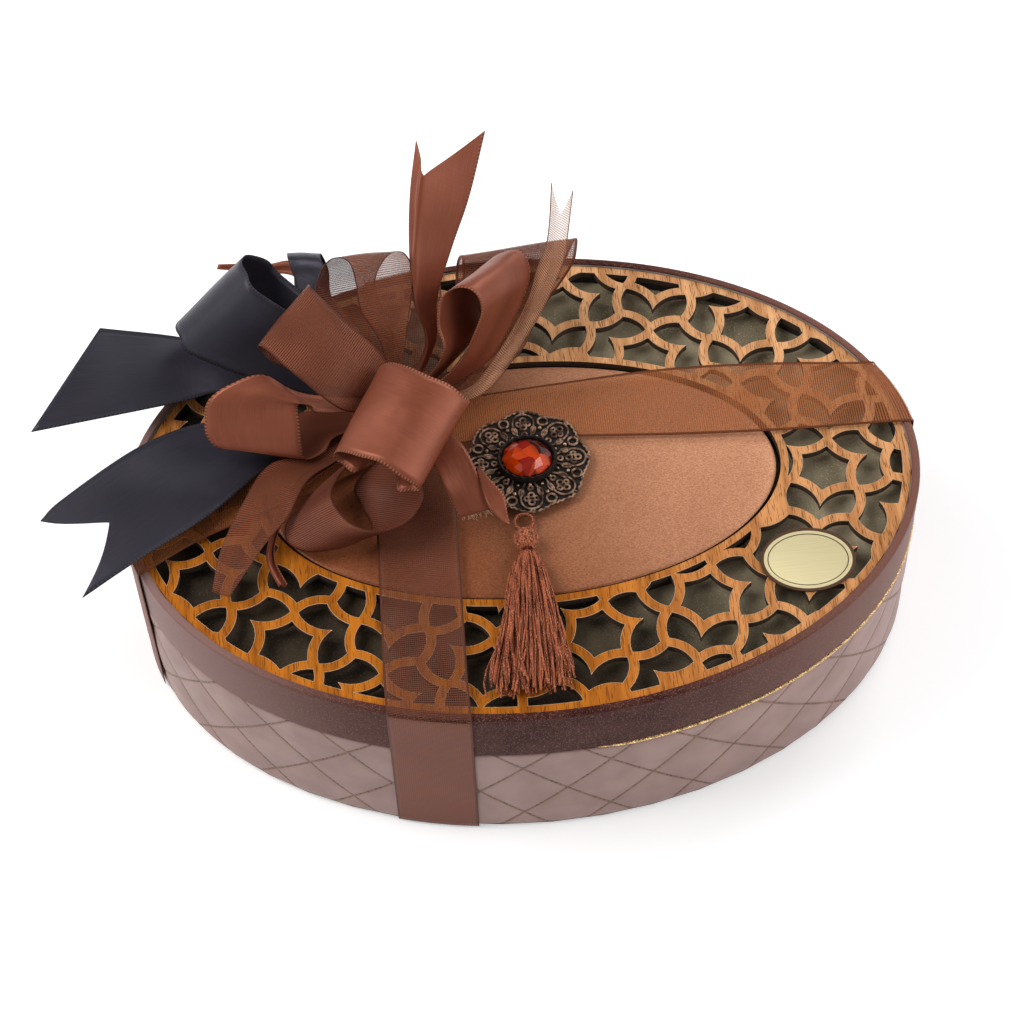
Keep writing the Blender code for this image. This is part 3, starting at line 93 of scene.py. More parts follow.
# %% [markdown]
# ## Short words for shader nodes
# A material is a small network of nodes joined by wires. These helpers add a node and plug it in, and a
# wire can be added, subtracted, multiplied and divided, so that a finish below reads like a recipe.

# %% Wires
class Wire:
    """The output of a shader node. Plain arithmetic on it adds the nodes that work it out."""

    def __init__(self, socket):
        self.socket = socket
        self.tree = socket.id_data

    def __add__(self, other):
        return maths("ADD", self, other)

    def __radd__(self, other):
        return maths("ADD", other, self)

    def __sub__(self, other):
        return maths("SUBTRACT", self, other)

    def __rsub__(self, other):
        return maths("SUBTRACT", other, self)

    def __mul__(self, other):
        return maths("MULTIPLY", self, other)

    def __rmul__(self, other):
        return maths("MULTIPLY", other, self)

    def __truediv__(self, other):
        return maths("DIVIDE", self, other)

    def __abs__(self):
        return maths("ABSOLUTE", self)


def plug(made, **wires):
    """Set a node's inputs. A wire is a constant or the output of another node."""
    for name, value in wires.items():
        join(made, made.inputs[name.replace("_", " ")], value)


def join(made, socket, value):
    if isinstance(value, Wire):
        made.id_data.links.new(value.socket, socket)
    else:
        socket.default_value = value


def node(tree, kind, wires=None, **settings):
    """Add a shader node to a tree, with its settings and its wires."""
    made = tree.nodes.new(kind)
    for name, value in settings.items():
        setattr(made, name, value)
    for socket, value in (wires or {}).items():
        join(made, made.inputs[socket], value)
    return made


def maths(operation, first, second=0.0):
    tree = (first if isinstance(first, Wire) else second).tree
    return Wire(node(tree, "ShaderNodeMath", {0: first, 1: second}, operation=operation).outputs[0])


def larger(first, second):
    return maths("MAXIMUM", first, second)


def smaller(first, second):
    return maths("MINIMUM", first, second)


def waves(value, pitch):
    """A sine wave along a value, one wave to each pitch."""
    return maths("SINE", value * (math.tau / pitch))


def rounded(value):
    return maths("ROUND", value)


print("wires ready")

# %% Shader helpers
def mixed(share, first, second):
    """Blend two colours by a share."""
    made = node(share.tree, "ShaderNodeMix", {0: share, 6: first, 7: second}, data_type="RGBA")
    return Wire(made.outputs[2])


def step_up(value, low, high):
    """0 below low, 1 above high and a smooth rise between."""
    wires = {"Value": value, "From Min": low, "From Max": high}
    return Wire(node(value.tree, "ShaderNodeMapRange", wires, interpolation_type="SMOOTHSTEP").outputs[0])


def noise(place, scale, detail=2.0, roughness=0.5):
    wires = {"Vector": place, "Scale": scale, "Detail": detail, "Roughness": roughness}
    return Wire(node(place.tree, "ShaderNodeTexNoise", wires).outputs["Fac"])


def flake(place, scale):
    """Three chance values, each constant over one small cell."""
    cells = node(place.tree, "ShaderNodeTexVoronoi", {"Vector": place, "Scale": scale})
    return axes_of(Wire(cells.outputs["Color"]))


def stretched(place, sizes, turn=0.0):
    """Scale a place along x, y and z, after an optional turn about z."""
    wires = {"Vector": place, "Scale": sizes, "Rotation": (0.0, 0.0, turn)}
    return Wire(node(place.tree, "ShaderNodeMapping", wires).outputs[0])


def object_place(shader):
    return Wire(node(shader.id_data, "ShaderNodeTexCoord").outputs["Object"])


def cloth_place(shader):
    """The piece's own map in metres: x across the cloth, y along it."""
    return Wire(node(shader.id_data, "ShaderNodeTexCoord").outputs["UV"])


def axes_of(place):
    return [Wire(socket) for socket in node(place.tree, "ShaderNodeSeparateXYZ", {"Vector": place}).outputs]


def bumped(height, distance, strength=1.0):
    wires = {"Height": height, "Distance": distance, "Strength": strength}
    return Wire(node(height.tree, "ShaderNodeBump", wires).outputs[0])


def finish_material(name, metallic=0.0, sheen=0.0, shine=0.5, gloss_tint=(1.0, 1.0, 1.0)):
    """A new material and its main shader. Shine is how much a matt thing still reflects."""
    made = bpy.data.materials.new(name)
    made.use_nodes = True
    shader = made.node_tree.nodes["Principled BSDF"]
    plug(shader, Metallic=metallic, Sheen_Weight=sheen, Specular_IOR_Level=shine)
    plug(shader, Specular_Tint=(*gloss_tint, 1.0))
    return made, shader


def rays(tree, *kinds):
    """1 for the kinds of ray that are named, and 0 for the rest."""
    paths = node(tree, "ShaderNodeLightPath").outputs
    seen = Wire(paths[kinds[0]])
    for kind in kinds[1:]:
        seen = larger(seen, Wire(paths[kind]))
    return seen


WHITE = (1.0, 1.0, 1.0, 1.0)
print("shader helpers ready")

# %% Floor
FLOOR_HALF = 6.0
FLOOR_DARK = (0.86, 0.86, 0.87, 1.0)
FLOOR_LIGHT = (0.89, 0.89, 0.90, 1.0)
FLOOR_LIFT = 0.30


def linked_object(name, builder):
    """A builder's mesh as an object in the scene."""
    mesh = bpy.data.meshes.new(name)
    builder.to_mesh(mesh)
    builder.free()
    made = bpy.data.objects.new(name, mesh)
    bpy.context.scene.collection.objects.link(made)
    return made


builder = bmesh.new()
bmesh.ops.create_grid(builder, x_segments=1, y_segments=1, size=FLOOR_HALF)
paper_floor = linked_object("paper_floor", builder)
floor_finish, shader = finish_material("white_paper", 0.0, 0.0, 0.1)
tone = mixed(noise(object_place(shader), 400.0), FLOOR_DARK, FLOOR_LIGHT)
lift = rays(shader.id_data, "Is Camera Ray", "Is Transmission Ray", "Is Glossy Ray") * FLOOR_LIFT
plug(shader, Base_Color=tone, Roughness=0.95, Emission_Color=WHITE, Emission_Strength=lift)
paper_floor.data.materials.append(floor_finish)
print("floor", 2 * FLOOR_HALF, "m across")

# %% Studio light
AMBIENT_LOW = 0.20
AMBIENT_SIDE = 0.80
BOX_MIDDLE = Vector((0.0, 0.0, 0.05))


def soft_light(name, place, size, watts, colour=(1.0, 1.0, 1.0)):
    """A square soft light that faces the middle of the box."""
    data = bpy.data.lights.new(name, "AREA")
    data.shape = "SQUARE"
    data.size = size
    data.energy = watts
    data.color = colour
    made = bpy.data.objects.new(name, data)
    made.location = place
    made.rotation_euler = (BOX_MIDDLE - Vector(place)).to_track_quat("-Z", "Y").to_euler()
    bpy.context.scene.collection.objects.link(made)


world = bpy.data.worlds.new("studio")
world.use_nodes = True
tree = world.node_tree
direct = rays(tree, "Is Camera Ray", "Is Transmission Ray")
sky_x = axes_of(Wire(node(tree, "ShaderNodeTexCoord").outputs["Generated"]))[0]
around = step_up(abs(sky_x), 0.1, 0.85) * (AMBIENT_SIDE - AMBIENT_LOW) + AMBIENT_LOW
strength = node(tree, "ShaderNodeMapRange", {"Value": direct, "To Min": around, "To Max": 1.0})
plug(tree.nodes["Background"], Color=WHITE, Strength=Wire(strength.outputs[0]))
bpy.context.scene.world = world
soft_light("key_left", (-0.85, 0.10, 1.10), 0.7, 11.0, (1.0, 0.99, 0.97))
soft_light("fill_right", (0.95, -0.30, 0.75), 0.7, 5.0)
soft_light("back_right", (0.70, 0.85, 0.80), 0.6, 5.0)
print("three soft lights")

# %% [markdown]
# ## Sizes taken from the frame
# The pieces below are placed from the boxes of the solids, so nothing has to be fitted by eye.

# %% Driving sizes
def node_low(name):
    return Vector(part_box(name)[0])


def node_high(name):
    return Vector(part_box(name)[1])


GAP = 0.0003
HALF_LENGTH = 0.1500
HALF_WIDTH = 0.1067
BASE_BOTTOM = node_low("quilted_cover").z
BASE_HEIGHT = node_high("quilted_cover").z
LID_BOTTOM = node_low("rim_cover").z
LID_TOP = node_high("rim_cover").z
COVER = 0.0008
RIM_WIDTH = 0.0031
WOOD_BOTTOM = node_low("fretwork_ring").z
WOOD_TOP = node_high("fretwork_ring").z
print("base", BASE_HEIGHT, "lid top", LID_TOP, "wood top", WOOD_TOP)

# %% [markdown]
# ## From a builder to an object
# Every new piece goes the same way: build it, link it, give it a finish, let it ride on its body and
# say which solid it stands for. One helper does this for all.

# %% Object helpers
SMOOTH_LIMIT = math.radians(35)


def place_piece(name, builder, finishes, body, nodes=(), smooth=True):
    """Turn a finished builder into a named piece of the box."""
    piece = linked_object(name, builder)
    for finish in finishes:
        piece.data.materials.append(finish)
    if smooth:
        piece.data.shade_smooth()
        piece.data.set_sharp_from_angle(angle=SMOOTH_LIMIT)
    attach(piece, body)
    if nodes:
        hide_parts(*nodes)
    return piece


def on_oval(turn, inset, height, half_length, half_width):
    """A point at an angle on an oval that is drawn in by an inset."""
    return ((half_length - inset) * math.cos(turn), (half_width - inset) * math.sin(turn), height)


def oval_loop(builder, half_length, half_width, height, steps):
    """An oval of edges, made as a circle and scaled."""
    made = bmesh.ops.create_circle(builder, cap_ends=False, segments=steps, radius=1.0)
    size = Matrix.Diagonal((half_length, half_width, 1.0))
    for vertex in made["verts"]:
        vertex.co = size @ vertex.co + Vector((0.0, 0.0, height))
    edges = {edge for vertex in made["verts"] for edge in vertex.link_edges}
    return sorted(edges, key=lambda edge: edge.index)


def drawn_up(builder, faces, rise):
    """Draw faces straight up by a height, and return them at their new place."""
    drawn = bmesh.ops.extrude_face_region(builder, geom=faces)["geom"]
    moved = [item for item in drawn if isinstance(item, bmesh.types.BMVert)]
    bmesh.ops.translate(builder, verts=moved, vec=(0.0, 0.0, rise))
    return [item for item in drawn if isinstance(item, bmesh.types.BMFace)]


def cloth_grid(across, along):
    """A flat grid one unit wide, with a map for cloth. It is bent afterwards."""
    builder = bmesh.new()
    builder.loops.layers.uv.new("cloth")
    bmesh.ops.create_grid(builder, x_segments=across, y_segments=along, size=0.5, calc_uvs=True)
    return builder, builder.loops.layers.uv.active


def oval_band(builder, half_length, half_width, section, steps):
    """Draw an oval of edges out along a closed section of (inset, height), and weld it to its start."""
    inset, height = section[0]
    edges = oval_loop(builder, half_length - inset, half_width - inset, height, steps)
    for number, (inset, height) in enumerate(section[1:] + section[:1]):
        before = section[number][0]
        drawn = bmesh.ops.extrude_edge_only(builder, edges=edges)["geom"]
        edges = [item for item in drawn if isinstance(item, bmesh.types.BMEdge)]
        for vertex in {vertex for edge in edges for vertex in edge.verts}:
            x_share = vertex.co.x / (half_length - before)
            y_share = vertex.co.y / (half_width - before)
            vertex.co = ((half_length - inset) * x_share, (half_width - inset) * y_share, height)
    bmesh.ops.remove_doubles(builder, verts=builder.verts, dist=0.000005)
    bmesh.ops.recalc_face_normals(builder, faces=builder.faces)


print("piece helpers ready")

# %% [markdown]
# ## Board, paper and lining
# The walls and floors are grey board, which shows only inside and at cut edges. Board is pressed from
# pulp: it is matt, with small dark and light flecks. The lining paper is smoother and warmer.

# %% Board, paper and foam finishes
def fleck_finish(name, light, dark, scale, roughness, depth):
    """A matt pressed sheet with flecks."""
    made, shader = finish_material(name)
    place = object_place(shader)
    cloud = noise(place, scale / 12, 3.0)
    fleck = step_up(noise(place, scale, 3.0, 0.7), 0.42, 0.64)
    tone = mixed(fleck, dark, light)
    tone = mixed(cloud * 0.35, tone, dark)
    plug(shader, Base_Color=tone, Roughness=roughness, Normal=bumped(fleck, depth, 0.5))
    return made


# Each finish: its light and dark colour, the scale of its flecks, its roughness and its depth.
BOARDS = {
    "grey_board": ((0.40, 0.37, 0.33, 1), (0.27, 0.25, 0.22, 1), 1500.0, 0.9, 0.00008),
    "brown_paper": ((0.20, 0.12, 0.08, 1), (0.13, 0.08, 0.055, 1), 1800.0, 0.75, 0.00005),
    "lining_paper": ((0.56, 0.44, 0.30, 1), (0.47, 0.35, 0.22, 1), 1600.0, 0.6, 0.00005),
    "pad_paper": ((0.70, 0.60, 0.44, 1), (0.60, 0.49, 0.33, 1), 900.0, 0.7, 0.0002),
    "white_foam": ((0.80, 0.78, 0.73, 1), (0.60, 0.58, 0.54, 1), 2600.0, 0.95, 0.0002),
    "black_board": ((0.018, 0.016, 0.014, 1), (0.009, 0.008, 0.007, 1), 1500.0, 0.8, 0.00006),
}
boards = {name: fleck_finish(name, *looks) for name, looks in BOARDS.items()}


def dress(node_name, finish):
    """Give a solid of the frame a finish, in every slot that it has."""
    piece = bpy.data.objects[node_name]
    if not piece.material_slots:
        piece.data.materials.append(finish)
    for slot in piece.material_slots:
        slot.material = finish


DRESSED = {
    "grey_board": ("base_board", "base_wall", "lid_top_board", "lid_wall"),
    "black_board": ("outer_spacer", "inner_spacer", "centre_board"),
    "lining_paper": ("floor_lining", "neck_collar"),
    "brown_paper": ("bottom_paper",),
    "pad_paper": ("pad_sheet",),
    "white_foam": ("centre_foam",),
}
for board, names in DRESSED.items():
    for name in names:
        dress(name, boards[board])
print("board pieces dressed")

# %% [markdown]
# ## Quilted base cover
# The base wears thin leatherette stitched in diamonds. The stitch lines cross at right angles, and the
# foam behind swells between them. A fine grid bent round the oval lets the swelling be real shape, and
# the thread is drawn in the finish along the same lines.

# %% Quilt places
PERIMETER_STEPS = 720
QUILT_ROWS = 46
QUILT_COUNT = 25
QUILT_RISE = 0.0007
DOWN_LINE_START = 0.0320
UP_LINE_START = 0.0288
LINE_LEVEL = 0.0250
PUFF_POWER = 0.35
TABLE_STEPS = 4001

turns = np.linspace(0.0, math.tau, TABLE_STEPS)
oval_x = HALF_LENGTH * np.cos(turns)
oval_y = HALF_WIDTH * np.sin(turns)
travel = np.concatenate([[0.0], np.cumsum(np.hypot(np.diff(oval_x), np.diff(oval_y)))])
PERIMETER = float(travel[-1])
QUILT_PITCH = PERIMETER / QUILT_COUNT


def oval_turn(distance):
    """The angle on the oval after a distance along its edge."""
    return float(np.interp(distance, travel, turns))


def puff(distance, height):
    """How far the cover swells between its stitch lines, from 0 to 1."""
    down = (distance - DOWN_LINE_START + height - LINE_LEVEL) / QUILT_PITCH
    up = (distance - UP_LINE_START - height + LINE_LEVEL) / QUILT_PITCH
    rise = abs(math.sin(math.pi * down)) * abs(math.sin(math.pi * up))
    return rise ** PUFF_POWER


print("perimeter", round(PERIMETER, 4), "quilt pitch", round(QUILT_PITCH, 4))

# %% Quilt cover mesh
JOINT_FILL = LID_BOTTOM - BASE_HEIGHT - GAP
CORD_SHOWS_FROM = math.radians(-88)
CORD_SHOWS_TO = math.radians(62)
CORD_FADE = math.radians(10)
EDGE_FADE = 0.03


def cord_share(turn):
    """1 where the gold cord shows in the joint, 0 where the lid's band hides it."""
    turn = (turn + math.pi) % math.tau - math.pi
    rise = min(max((turn - CORD_SHOWS_FROM) / CORD_FADE, 0.0), 1.0)
    fall = min(max((CORD_SHOWS_TO - turn) / CORD_FADE, 0.0), 1.0)
    return rise * rise * (3 - 2 * rise) * fall * fall * (3 - 2 * fall)


builder, cloth = cloth_grid(PERIMETER_STEPS, QUILT_ROWS)
for vertex in builder.verts:
    distance = (vertex.co.x + 0.5) * PERIMETER
    share = vertex.co.y + 0.5
    turn = oval_turn(distance)
    top = BASE_HEIGHT + JOINT_FILL * (1 - cord_share(turn))
    height = BASE_BOTTOM + (top - BASE_BOTTOM) * share
    edge_fade = min(1.0, share / EDGE_FADE, (1 - share) / EDGE_FADE)
    inset = QUILT_RISE * (1 - puff(distance, height) * edge_fade) - GAP
    vertex.co = on_oval(turn, inset, height, HALF_LENGTH, HALF_WIDTH)
for face in builder.faces:
    for loop in face.loops:
        loop[cloth].uv = (loop[cloth].uv.x * PERIMETER, loop.vert.co.z)
bmesh.ops.remove_doubles(builder, verts=builder.verts, dist=0.00001)
bmesh.ops.recalc_face_normals(builder, faces=builder.faces)
print("quilt grid", PERIMETER_STEPS, "by", QUILT_ROWS)

# %% Quilt finish
THREAD_DASH = 0.0016


def line_distance(across, up, start, lean):
    """Distance to the nearest stitch line of one family, as a share of the pitch."""
    share = (across - start + (up - LINE_LEVEL) * lean) / QUILT_PITCH
    return abs(share - rounded(share))


def stitch_mask(across, up, start, lean):
    """Short thread dashes along one family of lines, and the crease that they pull in, which also masks the
    painted shade in the crease.
    """
    off = line_distance(across, up, start, lean)
    crease_and_shade = 1.0 - step_up(off, 0.012, 0.040)
    on_line = 1.0 - step_up(off, 0.013, 0.021)
    dash = waves(up, THREAD_DASH)
    return crease_and_shade, on_line * step_up(dash, -0.7, -0.2)


quilt_finish, shader = finish_material("quilted_leatherette", 0.0, 0.0, 0.4)
uv = cloth_place(shader)
across, up, _ = axes_of(uv)
down_crease, down_thread = stitch_mask(across, up, DOWN_LINE_START, 1.0)
up_crease, up_thread = stitch_mask(across, up, UP_LINE_START, -1.0)
crease_and_shade = larger(down_crease, up_crease)
thread = larger(down_thread, up_thread)
grain = noise(uv, 2600.0, 2.0, 0.6)
cloud = step_up(noise(uv, 60.0, 3.0), 0.3, 0.7)
leather = mixed(cloud, (0.300, 0.182, 0.160, 1), (0.370, 0.235, 0.210, 1))
# Painted shade: the leather is darkened in the creases along the stitch lines, where shade would fall.
leather = mixed(crease_and_shade * 0.55, leather, (0.12, 0.055, 0.038, 1))
# The thread is dark in some patches and golden in others, at random.
thread_patches_and_painted_sheen = step_up(noise(uv, 700.0), 0.35, 0.65)
thread_tone = mixed(thread_patches_and_painted_sheen, (0.060, 0.022, 0.010, 1), (0.30, 0.14, 0.062, 1))
tone = mixed(thread, leather, thread_tone)
relief = grain * 0.12 + thread * 0.9 - crease_and_shade * 0.7
rough = grain * 0.12 + 0.40
plug(shader, Base_Color=tone, Roughness=rough, Normal=bumped(relief, 0.0003, 0.6))
quilt = place_piece("quilted_leatherette", builder, [quilt_finish], "base", ["quilted_cover"])
thick = quilt.modifiers.new("cover thickness", "SOLIDIFY")
thick.thickness = COVER - GAP
thick.offset = -1.0
print("quilt", len(quilt.data.polygons), "faces")

# %% [markdown]
# ## Lid band and rim
# The lid's wall and rim are wrapped in one mauve-brown metallic paper. It turns over the top in a soft
# round edge and down again beside the wood. A section swept round the oval gives it. The sparkle is fine
# flecks of mica, painted lighter: partly their own colour and partly a painted glint. Both ends of the
# oval are painted lighter as painted sheen, and the left end paler still as a painted highlight.

# %% Rim mesh and finish
RIM_STEPS = 256
EDGE_ROUND = 0.0013
INNER_ROUND = 0.0007
ROUND_STEPS = 6


def round_corner(centre_inset, centre_height, radius, first, last):
    """Points of a section round a corner, from one angle to another."""
    points = []
    for step in range(ROUND_STEPS + 1):
        turn = first + (last - first) * step / ROUND_STEPS
        points.append((centre_inset - radius * math.cos(turn), centre_height + radius * math.sin(turn)))
    return points


section = [(0.0003, LID_BOTTOM), (0.0, LID_BOTTOM + 0.0003)]
section += round_corner(EDGE_ROUND, LID_TOP - EDGE_ROUND, EDGE_ROUND, 0.0, math.pi / 2)
section += round_corner(RIM_WIDTH - INNER_ROUND, LID_TOP - INNER_ROUND, INNER_ROUND, math.pi / 2, math.pi)
section += [(RIM_WIDTH, LID_TOP - COVER), (COVER, LID_TOP - COVER), (COVER, LID_BOTTOM)]
builder = bmesh.new()
oval_band(builder, HALF_LENGTH, HALF_WIDTH, section, RIM_STEPS)

rim_finish, shader = finish_material("mica_paper", 0.0, 0.0, 0.08, (1.0, 0.62, 0.56))
place = object_place(shader)
glint = flake(place, 3600.0)[0]
fine = noise(place, 1900.0, 2.0, 0.7)
cloud = step_up(noise(place, 90.0, 3.0), 0.35, 0.65)
tone = mixed(cloud, (0.042, 0.012, 0.009, 1), (0.066, 0.022, 0.017, 1))
x = axes_of(place)[0]
# Painted sheen: both ends of the oval are painted lighter, where the paper is seen at a grazing angle.
painted_end_sheen = step_up(abs(x), 0.03, 0.14)
tone = mixed(painted_end_sheen * 0.8, tone, (0.200, 0.088, 0.066, 1))
# Mica flecks painted lighter: partly their own colour and partly a painted glint.
tone = mixed(step_up(glint, 0.78, 1.0), tone, (0.20, 0.105, 0.090, 1))
# Painted highlight: the left end is painted paler still, towards the key lamp.
thread_patches_and_painted_sheen = step_up(x * -1.0, 0.06, 0.15)
tone = mixed(thread_patches_and_painted_sheen * 0.55, tone, (0.30, 0.20, 0.19, 1))
rough = fine * 0.2 + 0.28
plug(shader, Base_Color=tone, Roughness=rough, Normal=bumped(fine, 0.00008, 0.5))
rim = place_piece("mica_paper_rim", builder, [rim_finish], "lid", ["rim_cover"])
print("rim section", len(section), "points")

# %% [markdown]
# ## Gold cord in the joint
# A thin gold cord is glued into the joint between base and lid. On the right it stands a little proud
# and shows as a bright line; on the left it is pushed in, and the band hides it. It is three strands
# twisted together, so three curves wind round one path.

# %% Gold cord
STRANDS = 3
STRAND_RADIUS = 0.00040
STRAND_OFFSET = 0.00034
TWIST_COUNT = 230
POINTS_PER_TWIST = 8
CORD_LEVEL = (BASE_HEIGHT + LID_BOTTOM) / 2
CORD_PROUD_INSET = 0.0002
CORD_HIDDEN_INSET = 0.0021


def thread_mesh(name, routes, radius, cyclic=False, resolution=1):
    """A mesh of round threads, one along each route of points."""
    data = bpy.data.curves.new(name, "CURVE")
    data.dimensions = "3D"
    data.bevel_depth = radius
    data.bevel_resolution = resolution
    data.use_fill_caps = True
    for route in routes:
        spline = data.splines.new("POLY")
        spline.points.add(len(route) - 1)
        spline.points.foreach_set("co", [value for point in route for value in (*point, 1.0)])
        spline.use_cyclic_u = cyclic
    maker = bpy.data.objects.new(name, data)
    bpy.context.scene.collection.objects.link(maker)
    graph = bpy.context.evaluated_depsgraph_get()
    mesh = bpy.data.meshes.new_from_object(maker.evaluated_get(graph))
    bpy.data.objects.remove(maker)
    builder = bmesh.new()
    builder.from_mesh(mesh)
    bpy.data.meshes.remove(mesh)
    return builder


def round_route(steps, place):
    """A closed route: the places at even angles round a circle."""
    return [place(math.tau * step / steps) for step in range(steps)]


def strand_route(strand):
    """One strand of the cord, all the way round the joint."""
    route = []
    count = TWIST_COUNT * POINTS_PER_TWIST
    for step in range(count):
        turn = oval_turn(PERIMETER * step / count)
        twist = math.tau * (step / POINTS_PER_TWIST + strand / STRANDS)
        inset = CORD_HIDDEN_INSET + (CORD_PROUD_INSET - CORD_HIDDEN_INSET) * cord_share(turn)
        inset += STRAND_OFFSET * math.cos(twist)
        level = CORD_LEVEL + STRAND_OFFSET * math.sin(twist)
        route.append(on_oval(turn, inset, level, HALF_LENGTH, HALF_WIDTH))
    return route


gold_finish, shader = finish_material("gold_thread", 0.85)
place = object_place(shader)
glint = flake(place, 2200.0)[0]
tone = mixed(glint, (0.42, 0.24, 0.09, 1), (0.90, 0.66, 0.34, 1))
rough = glint * 0.35 + 0.18
plug(shader, Base_Color=tone, Roughness=rough, Normal=bumped(glint, 0.0002, 0.8))
routes = [strand_route(strand) for strand in range(STRANDS)]
builder = thread_mesh("gold_strands", routes, STRAND_RADIUS, True)
gold = place_piece("gold_strands", builder, [gold_finish], "base", ["gold_cord"])
print("gold cord", len(gold.data.polygons), "faces")

# %% [markdown]
# ## Olive suede under the fretwork
# A flat board covered in olive suede with a metallic bloom lies 7 mm under the wood. It keeps its
# solid; the finish carries the nap, which varies at random, and a painted shade that darkens it towards
# the front and left, with a painted light that makes it lighter towards the back and right.

# %% Suede finish
suede_finish, shader = finish_material("olive_suede", 0.1, 0.1, 0.2)
place = object_place(shader)
nap = step_up(noise(place, 45.0, 3.0), 0.35, 0.65)
grit = noise(place, 1500.0, 3.0, 0.8)
x, y, _ = axes_of(place)
# Painted shade and light: the suede and its grit are painted dark towards the front and left, where the deep
# openings are in shadow, and lit towards the back and right.
painted_light_side = step_up(x * 0.7 + y, -0.08, 0.06)
tone = mixed(nap, (0.028, 0.018, 0.009, 1), (0.062, 0.042, 0.022, 1))
painted_lit_suede = mixed(nap, (0.190, 0.155, 0.092, 1), (0.340, 0.285, 0.185, 1))
tone = mixed(painted_light_side, tone, painted_lit_suede)
flecks = mixed(painted_light_side, (0.10, 0.075, 0.045, 1), (0.46, 0.40, 0.27, 1))
tone = mixed(step_up(grit, 0.52, 0.72), tone, flecks)
plug(shader, Base_Color=tone, Roughness=0.62, Normal=bumped(grit, 0.00025, 0.7))
dress("suede_panel", suede_finish)
print("suede dressed")

# %% [markdown]
# ## Fretwork ring
# The ring is 3 mm veneered board, cut by laser in a star-and-heart lattice. The openings are drawn as
# arcs in a repeating cell, trimmed to a plain border, and cut out of the ring by a Boolean, as the
# laser does. A first, very shallow cut with slightly wider openings leaves the pale line where the
# veneer is scorched thin. The second cut goes right through, and its walls are burnt brown.

# %% Lattice cell
PITCH = 0.0426
LATTICE_ANGLE = math.radians(15.7)
STAR_PLACE = (0.490 * PITCH, -1.700 * PITCH)
BAND = 0.0036
ARC_STEPS = 7
STAR_ARC = 0.343 * PITCH
SWIRL_ARC = 0.305 * PITCH
CROSSING = 0.3615 * PITCH
NODE_DISTANCE = PITCH / math.sqrt(3)


def turned(point, angle):
    """A flat point turned about the origin."""
    return Matrix.Rotation(angle, 2) @ Vector(point)


def arc(centre, start, end):
    """Points on the arc round centre from start towards end, without the end."""
    first = math.atan2(start[1] - centre[1], start[0] - centre[0])
    last = math.atan2(end[1] - centre[1], end[0] - centre[0])
    sweep = (last - first + math.pi) % math.tau - math.pi
    return [centre + turned(start - centre, sweep * step / ARC_STEPS) for step in range(ARC_STEPS)]


def circles_meet(first, first_radius, second, second_radius, near):
    """The crossing of two circles that is closer to a given point."""
    apart = (second - first).length
    along = (first_radius ** 2 - second_radius ** 2 + apart ** 2) / (2 * apart)
    rise = math.sqrt(first_radius ** 2 - along ** 2)
    unit = (second - first) / apart
    side = Vector((-unit.y, unit.x))
    both = [first + unit * along + side * rise, first + unit * along - side * rise]
    return min(both, key=lambda point: (point - near).length)


def star_outline(band):
    """Points of a six-pointed opening. Band is the width of the wood between two openings."""
    radius = STAR_ARC + band / 2
    corner = PITCH / 2 - math.sqrt(radius ** 2 - (NODE_DISTANCE / 2) ** 2)
    points = []
    for side in range(6):
        turn = math.radians(60) * side
        middle = turned((NODE_DISTANCE, 0.0), turn + math.radians(30))
        points += arc(middle, turned((corner, 0.0), turn), turned((corner, 0.0), turn + math.radians(60)))
    return points


def swirl_centre(crossing, middle):
    half = (crossing - middle) / 2
    unit = half.normalized()
    square = Vector((unit.y, -unit.x))
    return (crossing + middle) / 2 + square * math.sqrt(SWIRL_ARC ** 2 - half.length ** 2)


def heart_outline(band):
    """Points of a heart-like opening: one side by arcs and the other mirrored."""
    inner = STAR_ARC - band / 2
    wide = SWIRL_ARC + band / 2
    narrow = SWIRL_ARC - band / 2
    middle = turned((NODE_DISTANCE, 0.0), math.radians(-30))
    near_crossing = turned((CROSSING, 0.0), math.radians(-60))
    first = swirl_centre(near_crossing, middle)
    second = swirl_centre(Vector((PITCH - CROSSING, 0.0)), middle)
    tip = Vector((PITCH / 2 - math.sqrt(inner ** 2 - (NODE_DISTANCE / 2) ** 2), 0.0))
    shoulder = circles_meet(middle, inner, first, narrow, near_crossing)
    elbow = circles_meet(first, narrow, second, wide, middle)
    cusp = Vector((second.x - math.sqrt(wide ** 2 - second.y ** 2), 0.0))
    low = arc(middle, tip, shoulder) + arc(first, shoulder, elbow) + arc(second, elbow, cusp) + [cusp]
    high = [Vector((point.x, -point.y)) for point in low[1:-1]]
    return low + high[::-1]


print("star", len(star_outline(BAND)), "points, heart", len(heart_outline(BAND)), "points")

# %% Opening helpers
LATTICE_REACH = 6
BORDER = 0.0030
WOOD_OUTER = (0.1465, 0.1032)
WOOD_INNER = (0.0978, 0.0546)
SMALLEST_OPENING = PITCH ** 2 * 0.010
OVER = 0.001
WINDOW_STEPS = 192
RING_STEPS = 256


def flat_ring(builder, outer, inner, bottom, top, steps):
    """An upright ring between two ovals: bridged flat, then extruded."""
    loops = oval_loop(builder, *outer, bottom, steps) + oval_loop(builder, *inner, bottom, steps)
    ring = bmesh.ops.bridge_loops(builder, edges=loops)["faces"]
    drawn_up(builder, ring, top - bottom)
    bmesh.ops.recalc_face_normals(builder, faces=builder.faces)


def in_oval(point, size):
    return (point.x / size[0]) ** 2 + (point.y / size[1]) ** 2 < 1


